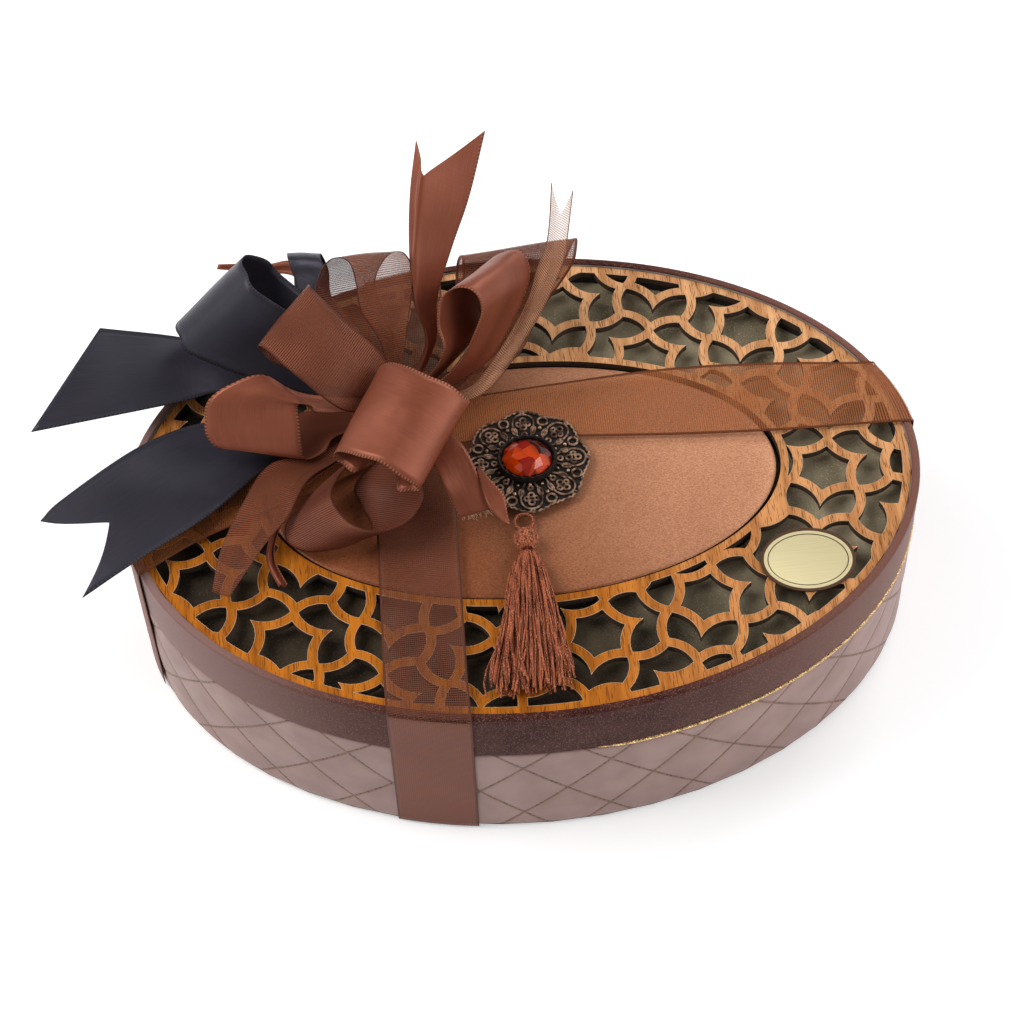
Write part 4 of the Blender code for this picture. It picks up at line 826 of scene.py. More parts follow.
def cell_outlines(band):
    """Every star and heart that reaches the ring, placed."""
    star = star_outline(band)
    heart = heart_outline(band)
    found = []
    for row in range(-LATTICE_REACH, LATTICE_REACH + 1):
        for column in range(-LATTICE_REACH, LATTICE_REACH + 1):
            centre = Vector(STAR_PLACE) + turned((PITCH * column, 0.0), LATTICE_ANGLE)
            centre = centre + turned((PITCH * row, 0.0), LATTICE_ANGLE + math.radians(60))
            cells = [(star, 0.0)] + [(heart, math.radians(120) * turn) for turn in range(3)]
            for outline, angle in cells:
                placed = [centre + turned(point, LATTICE_ANGLE + angle) for point in outline]
                touches = any(in_oval(point, WOOD_OUTER) for point in placed)
                if touches and not all(in_oval(point, WOOD_INNER) for point in placed):
                    found.append(placed)
    return found


def boolean_result(target, cutter, operation):
    """The mesh of one Boolean, worked out at once; both helpers are then removed."""
    modifier = target.modifiers.new("cut", "BOOLEAN")
    modifier.operation = operation
    modifier.solver = "EXACT"
    modifier.object = cutter
    graph = bpy.context.evaluated_depsgraph_get()
    graph.update()
    builder = bmesh.new()
    builder.from_mesh(target.evaluated_get(graph).to_mesh())
    for helper in (target, cutter):
        bpy.data.objects.remove(helper)
    return builder


def trimmed_cells(band, border, bottom, top):
    """Upright prisms of all the cells, trimmed to the ring's plain border."""
    builder = bmesh.new()
    for outline in cell_outlines(band):
        builder.faces.new([builder.verts.new((point.x, point.y, bottom)) for point in outline])
    drawn_up(builder, list(builder.faces), top - bottom)
    bmesh.ops.recalc_face_normals(builder, faces=builder.faces)
    cells_object = linked_object("cells", builder)
    builder = bmesh.new()
    window_outer = (WOOD_OUTER[0] - border, WOOD_OUTER[1] - border)
    window_inner = (WOOD_INNER[0] + border, WOOD_INNER[1] + border)
    flat_ring(builder, window_outer, window_inner, bottom - OVER, top + OVER, WINDOW_STEPS)
    window_object = linked_object("window", builder)
    return boolean_result(cells_object, window_object, "INTERSECT")


print("opening helpers ready")

# %% Cut the openings
EDGE_LINE = 0.00017
EDGE_DROP = 0.00012
openings = trimmed_cells(BAND, BORDER, WOOD_BOTTOM - OVER, WOOD_TOP + OVER)
lines = trimmed_cells(BAND - 2 * EDGE_LINE, BORDER - EDGE_LINE, WOOD_TOP - EDGE_DROP, WOOD_TOP + OVER)
print("opening faces", len(openings.faces), "line faces", len(lines.faces))

# %% Drop the slivers and cut the ring
def islands_of(builder):
    """Groups of faces that hang together."""
    waiting = set(builder.faces)
    groups = []
    while waiting:
        reached = [waiting.pop()]
        group = []
        while reached:
            face = reached.pop()
            group.append(face)
            for edge in face.edges:
                for other in edge.link_faces:
                    if other in waiting:
                        waiting.remove(other)
                        reached.append(other)
        groups.append(group)
    return groups


def middle_of(group):
    corners = {vertex for face in group for vertex in face.verts}
    return sum((vertex.co for vertex in corners), Vector()).to_2d() / len(corners)


SAME_PLACE = 0.0015
LEVEL = 0.9
FACE_SLOT, EDGE_SLOT, WALL_SLOT = 0, 1, 2

slivers = []
middles = []
for group in islands_of(openings):
    flat_area = sum(face.calc_area() for face in group if face.normal.z > LEVEL)
    if flat_area < SMALLEST_OPENING:
        slivers += group
    else:
        middles.append(middle_of(group))
bmesh.ops.delete(openings, geom=slivers, context="FACES")
strays = []
for group in islands_of(lines):
    here = middle_of(group)
    if min((here - middle).length for middle in middles) > SAME_PLACE:
        strays += group
bmesh.ops.delete(lines, geom=strays, context="FACES")
openings_object = linked_object("openings", openings)
lines_object = linked_object("lines", lines)
builder = bmesh.new()
flat_ring(builder, WOOD_OUTER, WOOD_INNER, WOOD_BOTTOM, WOOD_TOP, RING_STEPS)
ring_object = linked_object("ring", builder)
lined_object = linked_object("lined", boolean_result(ring_object, lines_object, "DIFFERENCE"))
builder = boolean_result(lined_object, openings_object, "DIFFERENCE")
bmesh.ops.remove_doubles(builder, verts=builder.verts, dist=0.000002)
for face in builder.faces:
    lowest = min(vertex.co.z for vertex in face.verts)
    highest = max(vertex.co.z for vertex in face.verts)
    if highest < WOOD_TOP - EDGE_DROP / 2 and face.normal.z > LEVEL:
        face.material_index = EDGE_SLOT
    elif abs(face.normal.z) > LEVEL:
        face.material_index = FACE_SLOT
    else:
        face.material_index = EDGE_SLOT if lowest > WOOD_TOP - 2 * EDGE_DROP else WALL_SLOT
print("openings", len(middles), "ring faces", len(builder.faces))

# %% Wood finishes
wood_finish, shader = finish_material("veneer", 0.0, 0.0, 0.18, (1.0, 0.75, 0.5))
place = object_place(shader)
x, y, _ = axes_of(place)
figure = step_up(noise(stretched(place, (260.0, 14.0, 60.0)), 1.0, 4.0, 0.6), 0.28, 0.72)
pore = step_up(noise(stretched(place, (2300.0, 190.0, 200.0)), 1.0, 1.0, 0.5), 0.57, 0.66)
long_cloud = noise(stretched(place, (30.0, 12.0, 10.0)), 1.0, 2.0)
warm = mixed(figure, (0.22, 0.055, 0.003, 1), (0.54, 0.165, 0.011, 1))
warm = mixed(long_cloud * 0.4, warm, (0.56, 0.175, 0.016, 1))
pale = mixed(figure, (0.44, 0.190, 0.070, 1), (0.76, 0.40, 0.19, 1))
lit = larger(step_up(x * 0.35 + y, -0.05, 0.085), step_up(x, 0.01, 0.12) * 0.7)
tone = mixed(lit, warm, pale)
tone = mixed(pore * 0.7, tone, (0.11, 0.035, 0.008, 1))
rough = 0.42 + figure * 0.15
relief = figure * 0.3 - pore
plug(shader, Base_Color=tone, Roughness=rough, Normal=bumped(relief, 0.00008, 0.6))

edge_finish, shader = finish_material("scorched_line")
tone = mixed(noise(object_place(shader), 900.0), (0.46, 0.27, 0.13, 1), (0.72, 0.52, 0.33, 1))
plug(shader, Base_Color=tone, Roughness=0.6)

wall_finish, shader = finish_material("burnt_cut_wall")
streak = noise(stretched(object_place(shader), (1500.0, 1500.0, 150.0)), 1.0)
tone = mixed(streak, (0.022, 0.011, 0.006, 1), (0.075, 0.036, 0.018, 1))
plug(shader, Base_Color=tone, Roughness=0.8, Normal=bumped(streak, 0.0001, 0.5))
wood_finishes = [wood_finish, edge_finish, wall_finish]
fretwork = place_piece("veneer_fretwork", builder, wood_finishes, "lid", ["fretwork_ring"])
print("fretwork", len(fretwork.data.polygons), "faces")

# %% [markdown]
# ## Padded satin centre
# A board with thin foam is covered in copper-brown satin, pulled over the edge and glued below, so the
# top is slightly crowned and its edge is soft. A capped circle is scaled to the oval, inset ring by
# ring and lifted, and a subdivision rounds it off.

# %% Satin centre mesh
SATIN_LOW = node_low("satin_panel").z
SATIN_HIGH = node_high("satin_panel").z
SATIN_CLEARANCE = 0.0013
SATIN_SIZE = (WOOD_INNER[0] - SATIN_CLEARANCE, WOOD_INNER[1] - SATIN_CLEARANCE)
SATIN_STEPS = 128
RIPPLE = 0.00018
CROWN_RINGS = [
    (0.996, 0.42), (0.985, 0.24), (0.95, 0.15), (0.87, 0.09),
    (0.72, 0.06), (0.54, 0.03), (0.34, 0.01), (0.14, 0.0),
]

builder = bmesh.new()
made = bmesh.ops.create_circle(builder, cap_ends=True, segments=SATIN_STEPS, radius=1.0)
for vertex in made["verts"]:
    vertex.co = (vertex.co.x * SATIN_SIZE[0], vertex.co.y * SATIN_SIZE[1], SATIN_LOW)
cap = list(builder.faces)
crown = SATIN_HIGH - SATIN_LOW
size = 1.0
for ring_size, rise in CROWN_RINGS:
    cap = drawn_up(builder, cap, crown * rise)
    for vertex in cap[0].verts:
        vertex.co.x *= ring_size / size
        vertex.co.y *= ring_size / size
    size = ring_size
bmesh.ops.poke(builder, faces=cap)
bmesh.ops.recalc_face_normals(builder, faces=builder.faces)
for vertex in builder.verts:
    if vertex.co.z > SATIN_LOW + crown / 2:
        x, y, _ = vertex.co
        vertex.co.z += RIPPLE * (math.sin(38 * x + 21 * y) * math.sin(27 * x - 44 * y) - 1)
print("satin crown", round(1000 * crown, 1), "mm high")

# %% Satin centre finish
SATIN_WEAVE = 0.00055
SATIN_TURN = math.radians(20)


def weave(place, pitch, turn=0.0):
    """A plain weave of two thread directions, from 0 to 1."""
    x, y, _ = axes_of(stretched(place, (1.0, 1.0, 1.0), turn))
    return waves(x, pitch) * waves(y, pitch) * 0.5 + 0.5


satin_finish, shader = finish_material("copper_satin", 0.15, 0.0, 0.35, (1.0, 0.72, 0.52))
place = object_place(shader)
x, y, _ = axes_of(place)
threads = weave(place, SATIN_WEAVE, SATIN_TURN)
slub = noise(stretched(place, (1500.0, 2600.0, 100.0), SATIN_TURN), 1.0, 2.0, 0.7)
slub = step_up(slub, 0.3, 0.7)
cloud = step_up(noise(place, 26.0, 3.0), 0.35, 0.68)
# Painted sheen: the satin is painted lighter towards the right and back, where a lamp's reflection would
# lie.
painted_sheen_side = step_up(y * 0.5 + x, -0.06, 0.09)
tone = mixed(slub, (0.165, 0.044, 0.017, 1), (0.290, 0.092, 0.038, 1))
painted_sheen_tone = mixed(slub, (0.420, 0.180, 0.092, 1), (0.660, 0.325, 0.190, 1))
tone = mixed(painted_sheen_side, tone, painted_sheen_tone)
tone = mixed(cloud * 0.22, tone, (0.25, 0.080, 0.032, 1))
relief = threads * 0.5 + slub * 0.6
plug(shader, Base_Color=tone, Roughness=0.36, Normal=bumped(relief, 0.00008, 0.6))
satin = place_piece("copper_satin_pad", builder, [satin_finish], "lid", ["satin_panel"])
soften = satin.modifiers.new("soft edge", "SUBSURF")
soften.levels = 1
soften.render_levels = 1
print("satin pad", round(2 * SATIN_SIZE[0], 3), "m long")

# %% [markdown]
# ## Bare oval label
# A small foil label is glued on the ring at the right. It stays bare: a pale gold field, brushed, with
# a dark brown border and a thin brown line inside it. Each inset of a capped circle gives the next
# band its own faces.

# %% Label
LABEL_PLACE = (0.1008, -0.04898)
LABEL_SIZE = (0.0175, 0.0140)
LABEL_TURN = math.radians(-2.0)
LABEL_BORDER = 0.0011
LABEL_FIELD = 0.0013
LABEL_LINE = 0.0004
LABEL_STEP = 0.00015
LABEL_SINK = 0.00012
LINE_SINK = 0.00004
LABEL_STEPS = 96
LABEL_LOW = node_low("oval_label").z
LABEL_THICK = 0.0005


def inset_cap(width, sink=0.0):
    """Inset the cap by a width and sink it, and return the faces between."""
    drawn = bmesh.ops.inset_region(builder, faces=cap, thickness=width, depth=-sink, use_even_offset=True)
    return drawn["faces"]


builder = bmesh.new()
made = bmesh.ops.create_circle(builder, cap_ends=True, segments=LABEL_STEPS, radius=1.0)
bmesh.ops.scale(builder, verts=made["verts"], vec=(*LABEL_SIZE, 1.0))
cap = drawn_up(builder, list(builder.faces), LABEL_THICK)
inset_cap(LABEL_BORDER)
inset_cap(LABEL_STEP, LABEL_SINK)
bmesh.ops.recalc_face_normals(builder, faces=builder.faces)
cap[0].material_index = 1
inset_cap(LABEL_FIELD)
for face in inset_cap(LABEL_LINE, LINE_SINK):
    face.material_index = 0
bmesh.ops.rotate(builder, verts=builder.verts, matrix=Matrix.Rotation(LABEL_TURN, 3, "Z"))
bmesh.ops.translate(builder, verts=builder.verts, vec=(*LABEL_PLACE, LABEL_LOW))

border_finish, shader = finish_material("label_border", 0.3)
tone = mixed(noise(object_place(shader), 900.0), (0.060, 0.024, 0.010, 1), (0.105, 0.046, 0.020, 1))
plug(shader, Base_Color=tone, Roughness=0.35)
foil_finish, shader = finish_material("label_foil", 0.55)
brushed = noise(stretched(object_place(shader), (60.0, 4200.0, 100.0)), 1.0)
tone = mixed(brushed, (0.74, 0.62, 0.32, 1), (0.92, 0.82, 0.50, 1))
plug(shader, Base_Color=tone, Roughness=0.32, Normal=bumped(brushed, 0.00004, 0.4))
label = place_piece("foil_label", builder, [border_finish, foil_finish], "lid", ["oval_label"])
print("label border", LABEL_BORDER)

# %% [markdown]
# ## Ribbon: one way to bend them all
# A ribbon is a flat strip that bends but hardly stretches. Each one here is given by pairs of points on
# its two edges. A flat grid, made by the operator, is bent so that its sides follow smooth curves
# through those points; its own map stays in metres, so ribs and stitches keep their size round a bend.

# %% Bending a grid along rows of points
CLOTH_THICKNESS = 0.0003
FINE_STEPS = 400
SIDE_STEP = 0.01
AHEAD_STEP = 0.004
FORK_POWER = 6


def smooth_between(points, share):
    """A point on the smooth curve through rows of points (Catmull-Rom)."""
    points = np.asarray(points, float)
    place = min(max(share, 0.0), 1.0) * (len(points) - 1)
    index = min(int(place), len(points) - 2)
    rest = place - index
    start, end = points[index], points[index + 1]
    before = points[index - 1] if index > 0 else 2 * start - end
    after = points[index + 2] if index + 2 < len(points) else 2 * end - start
    square = 2 * before - 5 * start + 4 * end - after
    cube = 3 * start - before - 3 * end + after
    return start + ((end - before) * rest + square * rest ** 2 + cube * rest ** 3) / 2


def even_rows(rows, count):
    """Rows resampled to even steps along the middle, and the whole length."""
    fine = np.array([smooth_between(rows, share) for share in np.linspace(0, 1, FINE_STEPS)])
    middle = fine.mean(axis=1)
    length = np.concatenate([[0.0], np.cumsum(np.linalg.norm(np.diff(middle, axis=0), axis=1))])
    wanted = np.linspace(0.0, length[-1], count)
    shares = np.interp(wanted, length, np.linspace(0, 1, FINE_STEPS))
    return np.array([smooth_between(rows, share) for share in shares]), float(length[-1])


def bent_ribbon(name, rows, width, across, pitch, lift, finish, body, nodes, fork=0.0):
    """A grid bent along the rows. lift(u, v, distance) raises a point off the surface."""
    steps = max(8, int(even_rows(rows, 3)[1] / pitch))
    even, length = even_rows(rows, steps * 4 + 1)
    builder, cloth = cloth_grid(across, steps)
    shares = {}
    for vertex in builder.verts:
        shares[vertex] = (vertex.co.x + 0.5, vertex.co.y + 0.5)
    for vertex, (u, v) in shares.items():
        v = v * (1 - fork * (1 - abs(2 * u - 1)) * v ** FORK_POWER)
        shares[vertex] = (u, v)
        row = smooth_between(even, v)
        here = smooth_between(row, u)
        side = smooth_between(row, min(u + SIDE_STEP, 1.0)) - smooth_between(row, max(u - SIDE_STEP, 0.0))
        ahead = smooth_between(smooth_between(even, min(v + AHEAD_STEP, 1.0)), u)
        ahead = ahead - smooth_between(smooth_between(even, max(v - AHEAD_STEP, 0.0)), u)
        normal = np.cross(ahead, side)
        normal = normal / max(np.linalg.norm(normal), 1e-12)
        vertex.co = here + normal * lift(u, v, v * length)
    for face in builder.faces:
        for loop in face.loops:
            u, v = shares[loop.vert]
            loop[cloth].uv = (u * width, v * length)
    piece = place_piece(name, builder, [finish], body, nodes)
    thick = piece.modifiers.new("cloth thickness", "SOLIDIFY")
    thick.thickness = CLOTH_THICKNESS
    thick.offset = 0.0
    area = sum(face.area for face in piece.data.polygons)
    return piece, length, area


print("cloth", CLOTH_THICKNESS * 1000, "mm thick")

# %% [markdown]
# ## Ribbon finishes
# The brown ribbon is satin: close threads run along it, it is glossy across them, and its two darker
# edges are stitched with small loops. The black one is the same cloth. The thin one is organza, an open
# weave of stiff fine threads, so most of it is holes: it is shown by transparency in the same pattern.
# The front loop's organza is closer and one tail's is paler and more open.

# %% Satin ribbon
EDGE_BAND = 0.0011
STITCH = 0.0013
SATIN_WEFT = 0.00045
BOW_WIDTH = 0.038
WRAP_WIDTH = 0.030


def edge_share(across, width, solid):
    """1 along the two edges of a ribbon and 0 between them."""
    return 1.0 - step_up(smaller(across, width - across), solid, EDGE_BAND)


def satin_ribbon(name, dark, light, selvedge_tone, stitch_tone, gloss_tint, metallic, roughness):
    """A close glossy weave with a dark, stitched edge."""
    made, shader = finish_material(name, metallic, 0.0, 0.4, gloss_tint)
    uv = cloth_place(shader)
    across, along, _ = axes_of(uv)
    streak = noise(stretched(uv, (2600.0, 60.0, 1.0)), 1.0, 3.0, 0.6)
    soft = noise(stretched(uv, (70.0, 45.0, 1.0)), 1.0, 2.0)
    cloud = step_up(noise(stretched(uv, (50.0, 30.0, 1.0)), 1.0, 2.0), 0.35, 0.65)
    tone = mixed(streak, dark, light)
    tone = mixed(cloud * 0.3, tone, light)
    edge = edge_share(across, BOW_WIDTH, EDGE_BAND * 0.6)
    stitched = edge * step_up(waves(along, STITCH), -0.5, 0.5)
    tone = mixed(edge * 0.6, tone, selvedge_tone)
    tone = mixed(stitched * 0.7, tone, stitch_tone)
    relief = waves(along, SATIN_WEFT) * 0.18 + streak * 0.3 + stitched + soft * 7.0
    rough = edge * 0.2 + roughness
    plug(shader, Base_Color=tone, Roughness=rough, Normal=bumped(relief, 0.00010, 0.6))
    plug(shader, Anisotropic=0.5)
    return made


brown_satin = satin_ribbon(
    "brown_satin", (0.150, 0.037, 0.020, 1), (0.285, 0.084, 0.046, 1), (0.050, 0.012, 0.007, 1),
    (0.46, 0.17, 0.09, 1), (1.0, 0.66, 0.54), 0.25, 0.34,
)
black_satin = satin_ribbon(
    "black_satin", (0.0145, 0.0132, 0.0190, 1), (0.034, 0.030, 0.042, 1), (0.006, 0.006, 0.008, 1),
    (0.055, 0.052, 0.066, 1), (0.9, 0.88, 1.0), 0.15, 0.40,
)
print("satin ribbons ready")

# %% Organza ribbon
RIB_PITCH = 0.00085
WARP_PITCH = 0.00075
SHEER_EDGE = 0.0007
DOUBLE_FADE = 0.0012
DOUBLE_BELOW = LID_TOP - 0.0004


def organza(name, width, gap_cover, thread_cover, dark, light, solid_below=None):
    """An open weave with closer edges. Below a height it may lie double and close."""
    made, shader = finish_material(name, 0.0, 0.0, 0.3, (1.0, 0.62, 0.48))
    uv = cloth_place(shader)
    across, along, _ = axes_of(uv)
    rib = step_up(waves(along, RIB_PITCH), -0.5, 0.6)
    warp = step_up(waves(across, WARP_PITCH), -0.2, 0.9)
    threads = larger(rib, warp * 0.8)
    wander = step_up(noise(stretched(uv, (32.0, 40.0, 1.0)), 1.0, 1.0), 0.2, 0.8)
    edge = edge_share(across, width, SHEER_EDGE)
    cover = threads * (thread_cover - gap_cover) + gap_cover
    cover = larger(cover + wander * 0.16 - 0.08, edge)
    if solid_below is not None:
        height = axes_of(object_place(shader))[2]
        closed = 1.0 - step_up(height, solid_below - DOUBLE_FADE, solid_below)
        cover = larger(cover, closed)
        light = mixed(closed, light, (0.225, 0.070, 0.040, 1))
        dark = mixed(closed, dark, (0.110, 0.030, 0.016, 1))
    tone = mixed(threads * (wander * 0.4 + 0.6), dark, light)
    tone = mixed(edge * 0.7, tone, (0.055, 0.014, 0.008, 1))
    plug(shader, Base_Color=tone, Roughness=0.45, Alpha=cover, Normal=bumped(threads, 0.00008, 0.5))
    return made


# Each look: the cover of the gaps and of the threads, and the dark and the light colour.
BOW_ORGANZAS = {
    "brown_organza": (0.34, 0.72, (0.070, 0.018, 0.010, 1), (0.270, 0.082, 0.042, 1)),
    "dense_organza": (0.74, 0.96, (0.060, 0.015, 0.009, 1), (0.210, 0.062, 0.036, 1)),
    "pale_organza": (0.10, 0.50, (0.200, 0.070, 0.035, 1), (0.640, 0.340, 0.200, 1)),
}
WRAP_ORGANZAS = {
    "wrap_organza": (0.03, 0.50, (0.150, 0.034, 0.010, 1), (0.500, 0.165, 0.055, 1)),
    "shaded_organza": (0.05, 0.52, (0.090, 0.024, 0.013, 1), (0.230, 0.080, 0.050, 1)),
}
organzas = {name: organza(name, BOW_WIDTH, *look) for name, look in BOW_ORGANZAS.items()}
for name, look in WRAP_ORGANZAS.items():
    organzas[name] = organza(name, WRAP_WIDTH, *look, DOUBLE_BELOW)
print("organza ready")

# %% [markdown]
# ## The two wrapped ribbons
# One ribbon goes round the box crosswise and one lengthwise. Each climbs the wall, turns over the rim
# and lies flat over the lid. The rows of points follow that path, with five points across so that the
# strip follows the curve of the wall.

# %% Wrap rows
WRAP_ACROSS = 5
CORD_PROUD = 0.0003
WALL_GAP = CORD_PROUD + GAP + CLOTH_THICKNESS / 2
LONG_LEVEL = LID_TOP + GAP + CLOTH_THICKNESS / 2
CROSS_LEVEL = LONG_LEVEL + CLOTH_THICKNESS + GAP
WRAP_BEND = 0.0018
BEND_ROWS = [(0.0, 1.6), (0.28, 0.39), (1.0, 0.0)]
WALL_ROWS = [0.0, 0.24, 0.50, 0.76]
WRAP_FOOT = BASE_BOTTOM


def wall_y(x):
    return (HALF_WIDTH + WALL_GAP) * math.sqrt(1 - (x / (HALF_LENGTH + WALL_GAP)) ** 2)


def wall_x(y):
    return (HALF_LENGTH + WALL_GAP) * math.sqrt(1 - (y / (HALF_WIDTH + WALL_GAP)) ** 2)


def wall_rows(place, across, level):
    """Rows up a wall and round the rim."""
    rows = []
    for share in WALL_ROWS:
        rows.append([place(value, 0.0, WRAP_FOOT + (level - WRAP_FOOT) * share) for value in across])
    for into, drop in BEND_ROWS:
        rows.append([place(value, WRAP_BEND * into, level - WRAP_BEND * drop) for value in across])
    return rows


def places_about(centre):
    return [centre + WRAP_WIDTH * (step / (WRAP_ACROSS - 1) - 0.5) for step in range(WRAP_ACROSS)]


def small_waves(size, wave, phase):
    """A soft unevenness that dies out at both ends of a strip."""
    def lift(u, v, distance):
        rise = math.sin(math.tau * distance / wave + phase) * math.cos(3.0 * u + phase)
        return size * rise * math.sin(math.pi * min(max(v, 0.0), 1.0)) ** 0.5
    return lift


print("wall rows ready")

# %% Crosswise ribbon
CROSS_FRONT = HALF_LENGTH * -0.283
CROSS_BACK = HALF_LENGTH * -0.258
CROSS_LID_ROWS = [-0.80, -0.52, -0.23, 0.05, 0.25, 0.47, 0.75]

front = places_about(CROSS_FRONT)
back = places_about(CROSS_BACK)
rows = wall_rows(lambda x, into, height: (x, into - wall_y(x), height), front, CROSS_LEVEL)
for share in CROSS_LID_ROWS:
    blend = (share - CROSS_LID_ROWS[0]) / (CROSS_LID_ROWS[-1] - CROSS_LID_ROWS[0])
    places = [near + (far - near) * blend for near, far in zip(front, back)]
    rows.append([(x, HALF_WIDTH * share, CROSS_LEVEL) for x in places])
rows += wall_rows(lambda x, into, height: (x, wall_y(x) - into, height), back, CROSS_LEVEL)[::-1]
cross, length, area = bent_ribbon(
    "organza_crosswise", rows, WRAP_WIDTH, 16, 0.0022, small_waves(0.00006, 0.04, 0.4),
    organzas["shaded_organza"], "ribbon_wrap", ["ribbon_cross"],
)
print("crosswise ribbon", round(length, 3), "m", round(area, 5), "m2")

# %% Lengthwise ribbon
LONG_LEFT = HALF_WIDTH * -0.145
LONG_RIGHT = HALF_WIDTH * 0.224
LONG_LID_ROWS = [
    (-0.800, -0.160, 0.122), (-0.600, -0.047, 0.216), (-0.400, 0.075, 0.300),
    (-0.267, 0.141, 0.347), (-0.067, 0.159, 0.366), (0.100, 0.148, 0.386),
    (0.400, 0.112, 0.412), (0.667, 0.092, 0.398), (0.867, 0.088, 0.370),
]

left = places_about(LONG_LEFT)
right = places_about(LONG_RIGHT)
rows = wall_rows(lambda y, into, height: (into - wall_x(y), y, height), left, LONG_LEVEL)
for place_share, low_share, high_share in LONG_LID_ROWS:
    x = HALF_LENGTH * place_share
    low = HALF_WIDTH * low_share
    high = HALF_WIDTH * high_share
    places = [low + (high - low) * step / (WRAP_ACROSS - 1) for step in range(WRAP_ACROSS)]
    rows.append([(x, y, LONG_LEVEL) for y in places])
rows += wall_rows(lambda y, into, height: (wall_x(y) - into, y, height), right, LONG_LEVEL)[::-1]
longer, length, area = bent_ribbon(
    "organza_lengthwise", rows, WRAP_WIDTH, 16, 0.0022, small_waves(0.00006, 0.05, 1.3),
    organzas["wrap_organza"], "ribbon_wrap", ["ribbon_long"],
)
print("lengthwise ribbon", round(length, 3), "m", round(area, 5), "m2")

# %% Ribbon ends under the base
for name in ("ribbon_tongue_front", "ribbon_tongue_back", "ribbon_tongue_left", "ribbon_tongue_right"):
    dress(name, boards["brown_paper"])
print("ribbon ends dressed")

# %% [markdown]
# ## The bow
# The bow is nine loops and eight tails, gathered at one knot. Each row below has a point on one edge and
# the point across from it, in millimetres from the knot's centre. The rows run outwards from the knot
# and, for a loop, back to it. The tail that stands up is folded along a line, and three tails are
# gathered into a pleat.

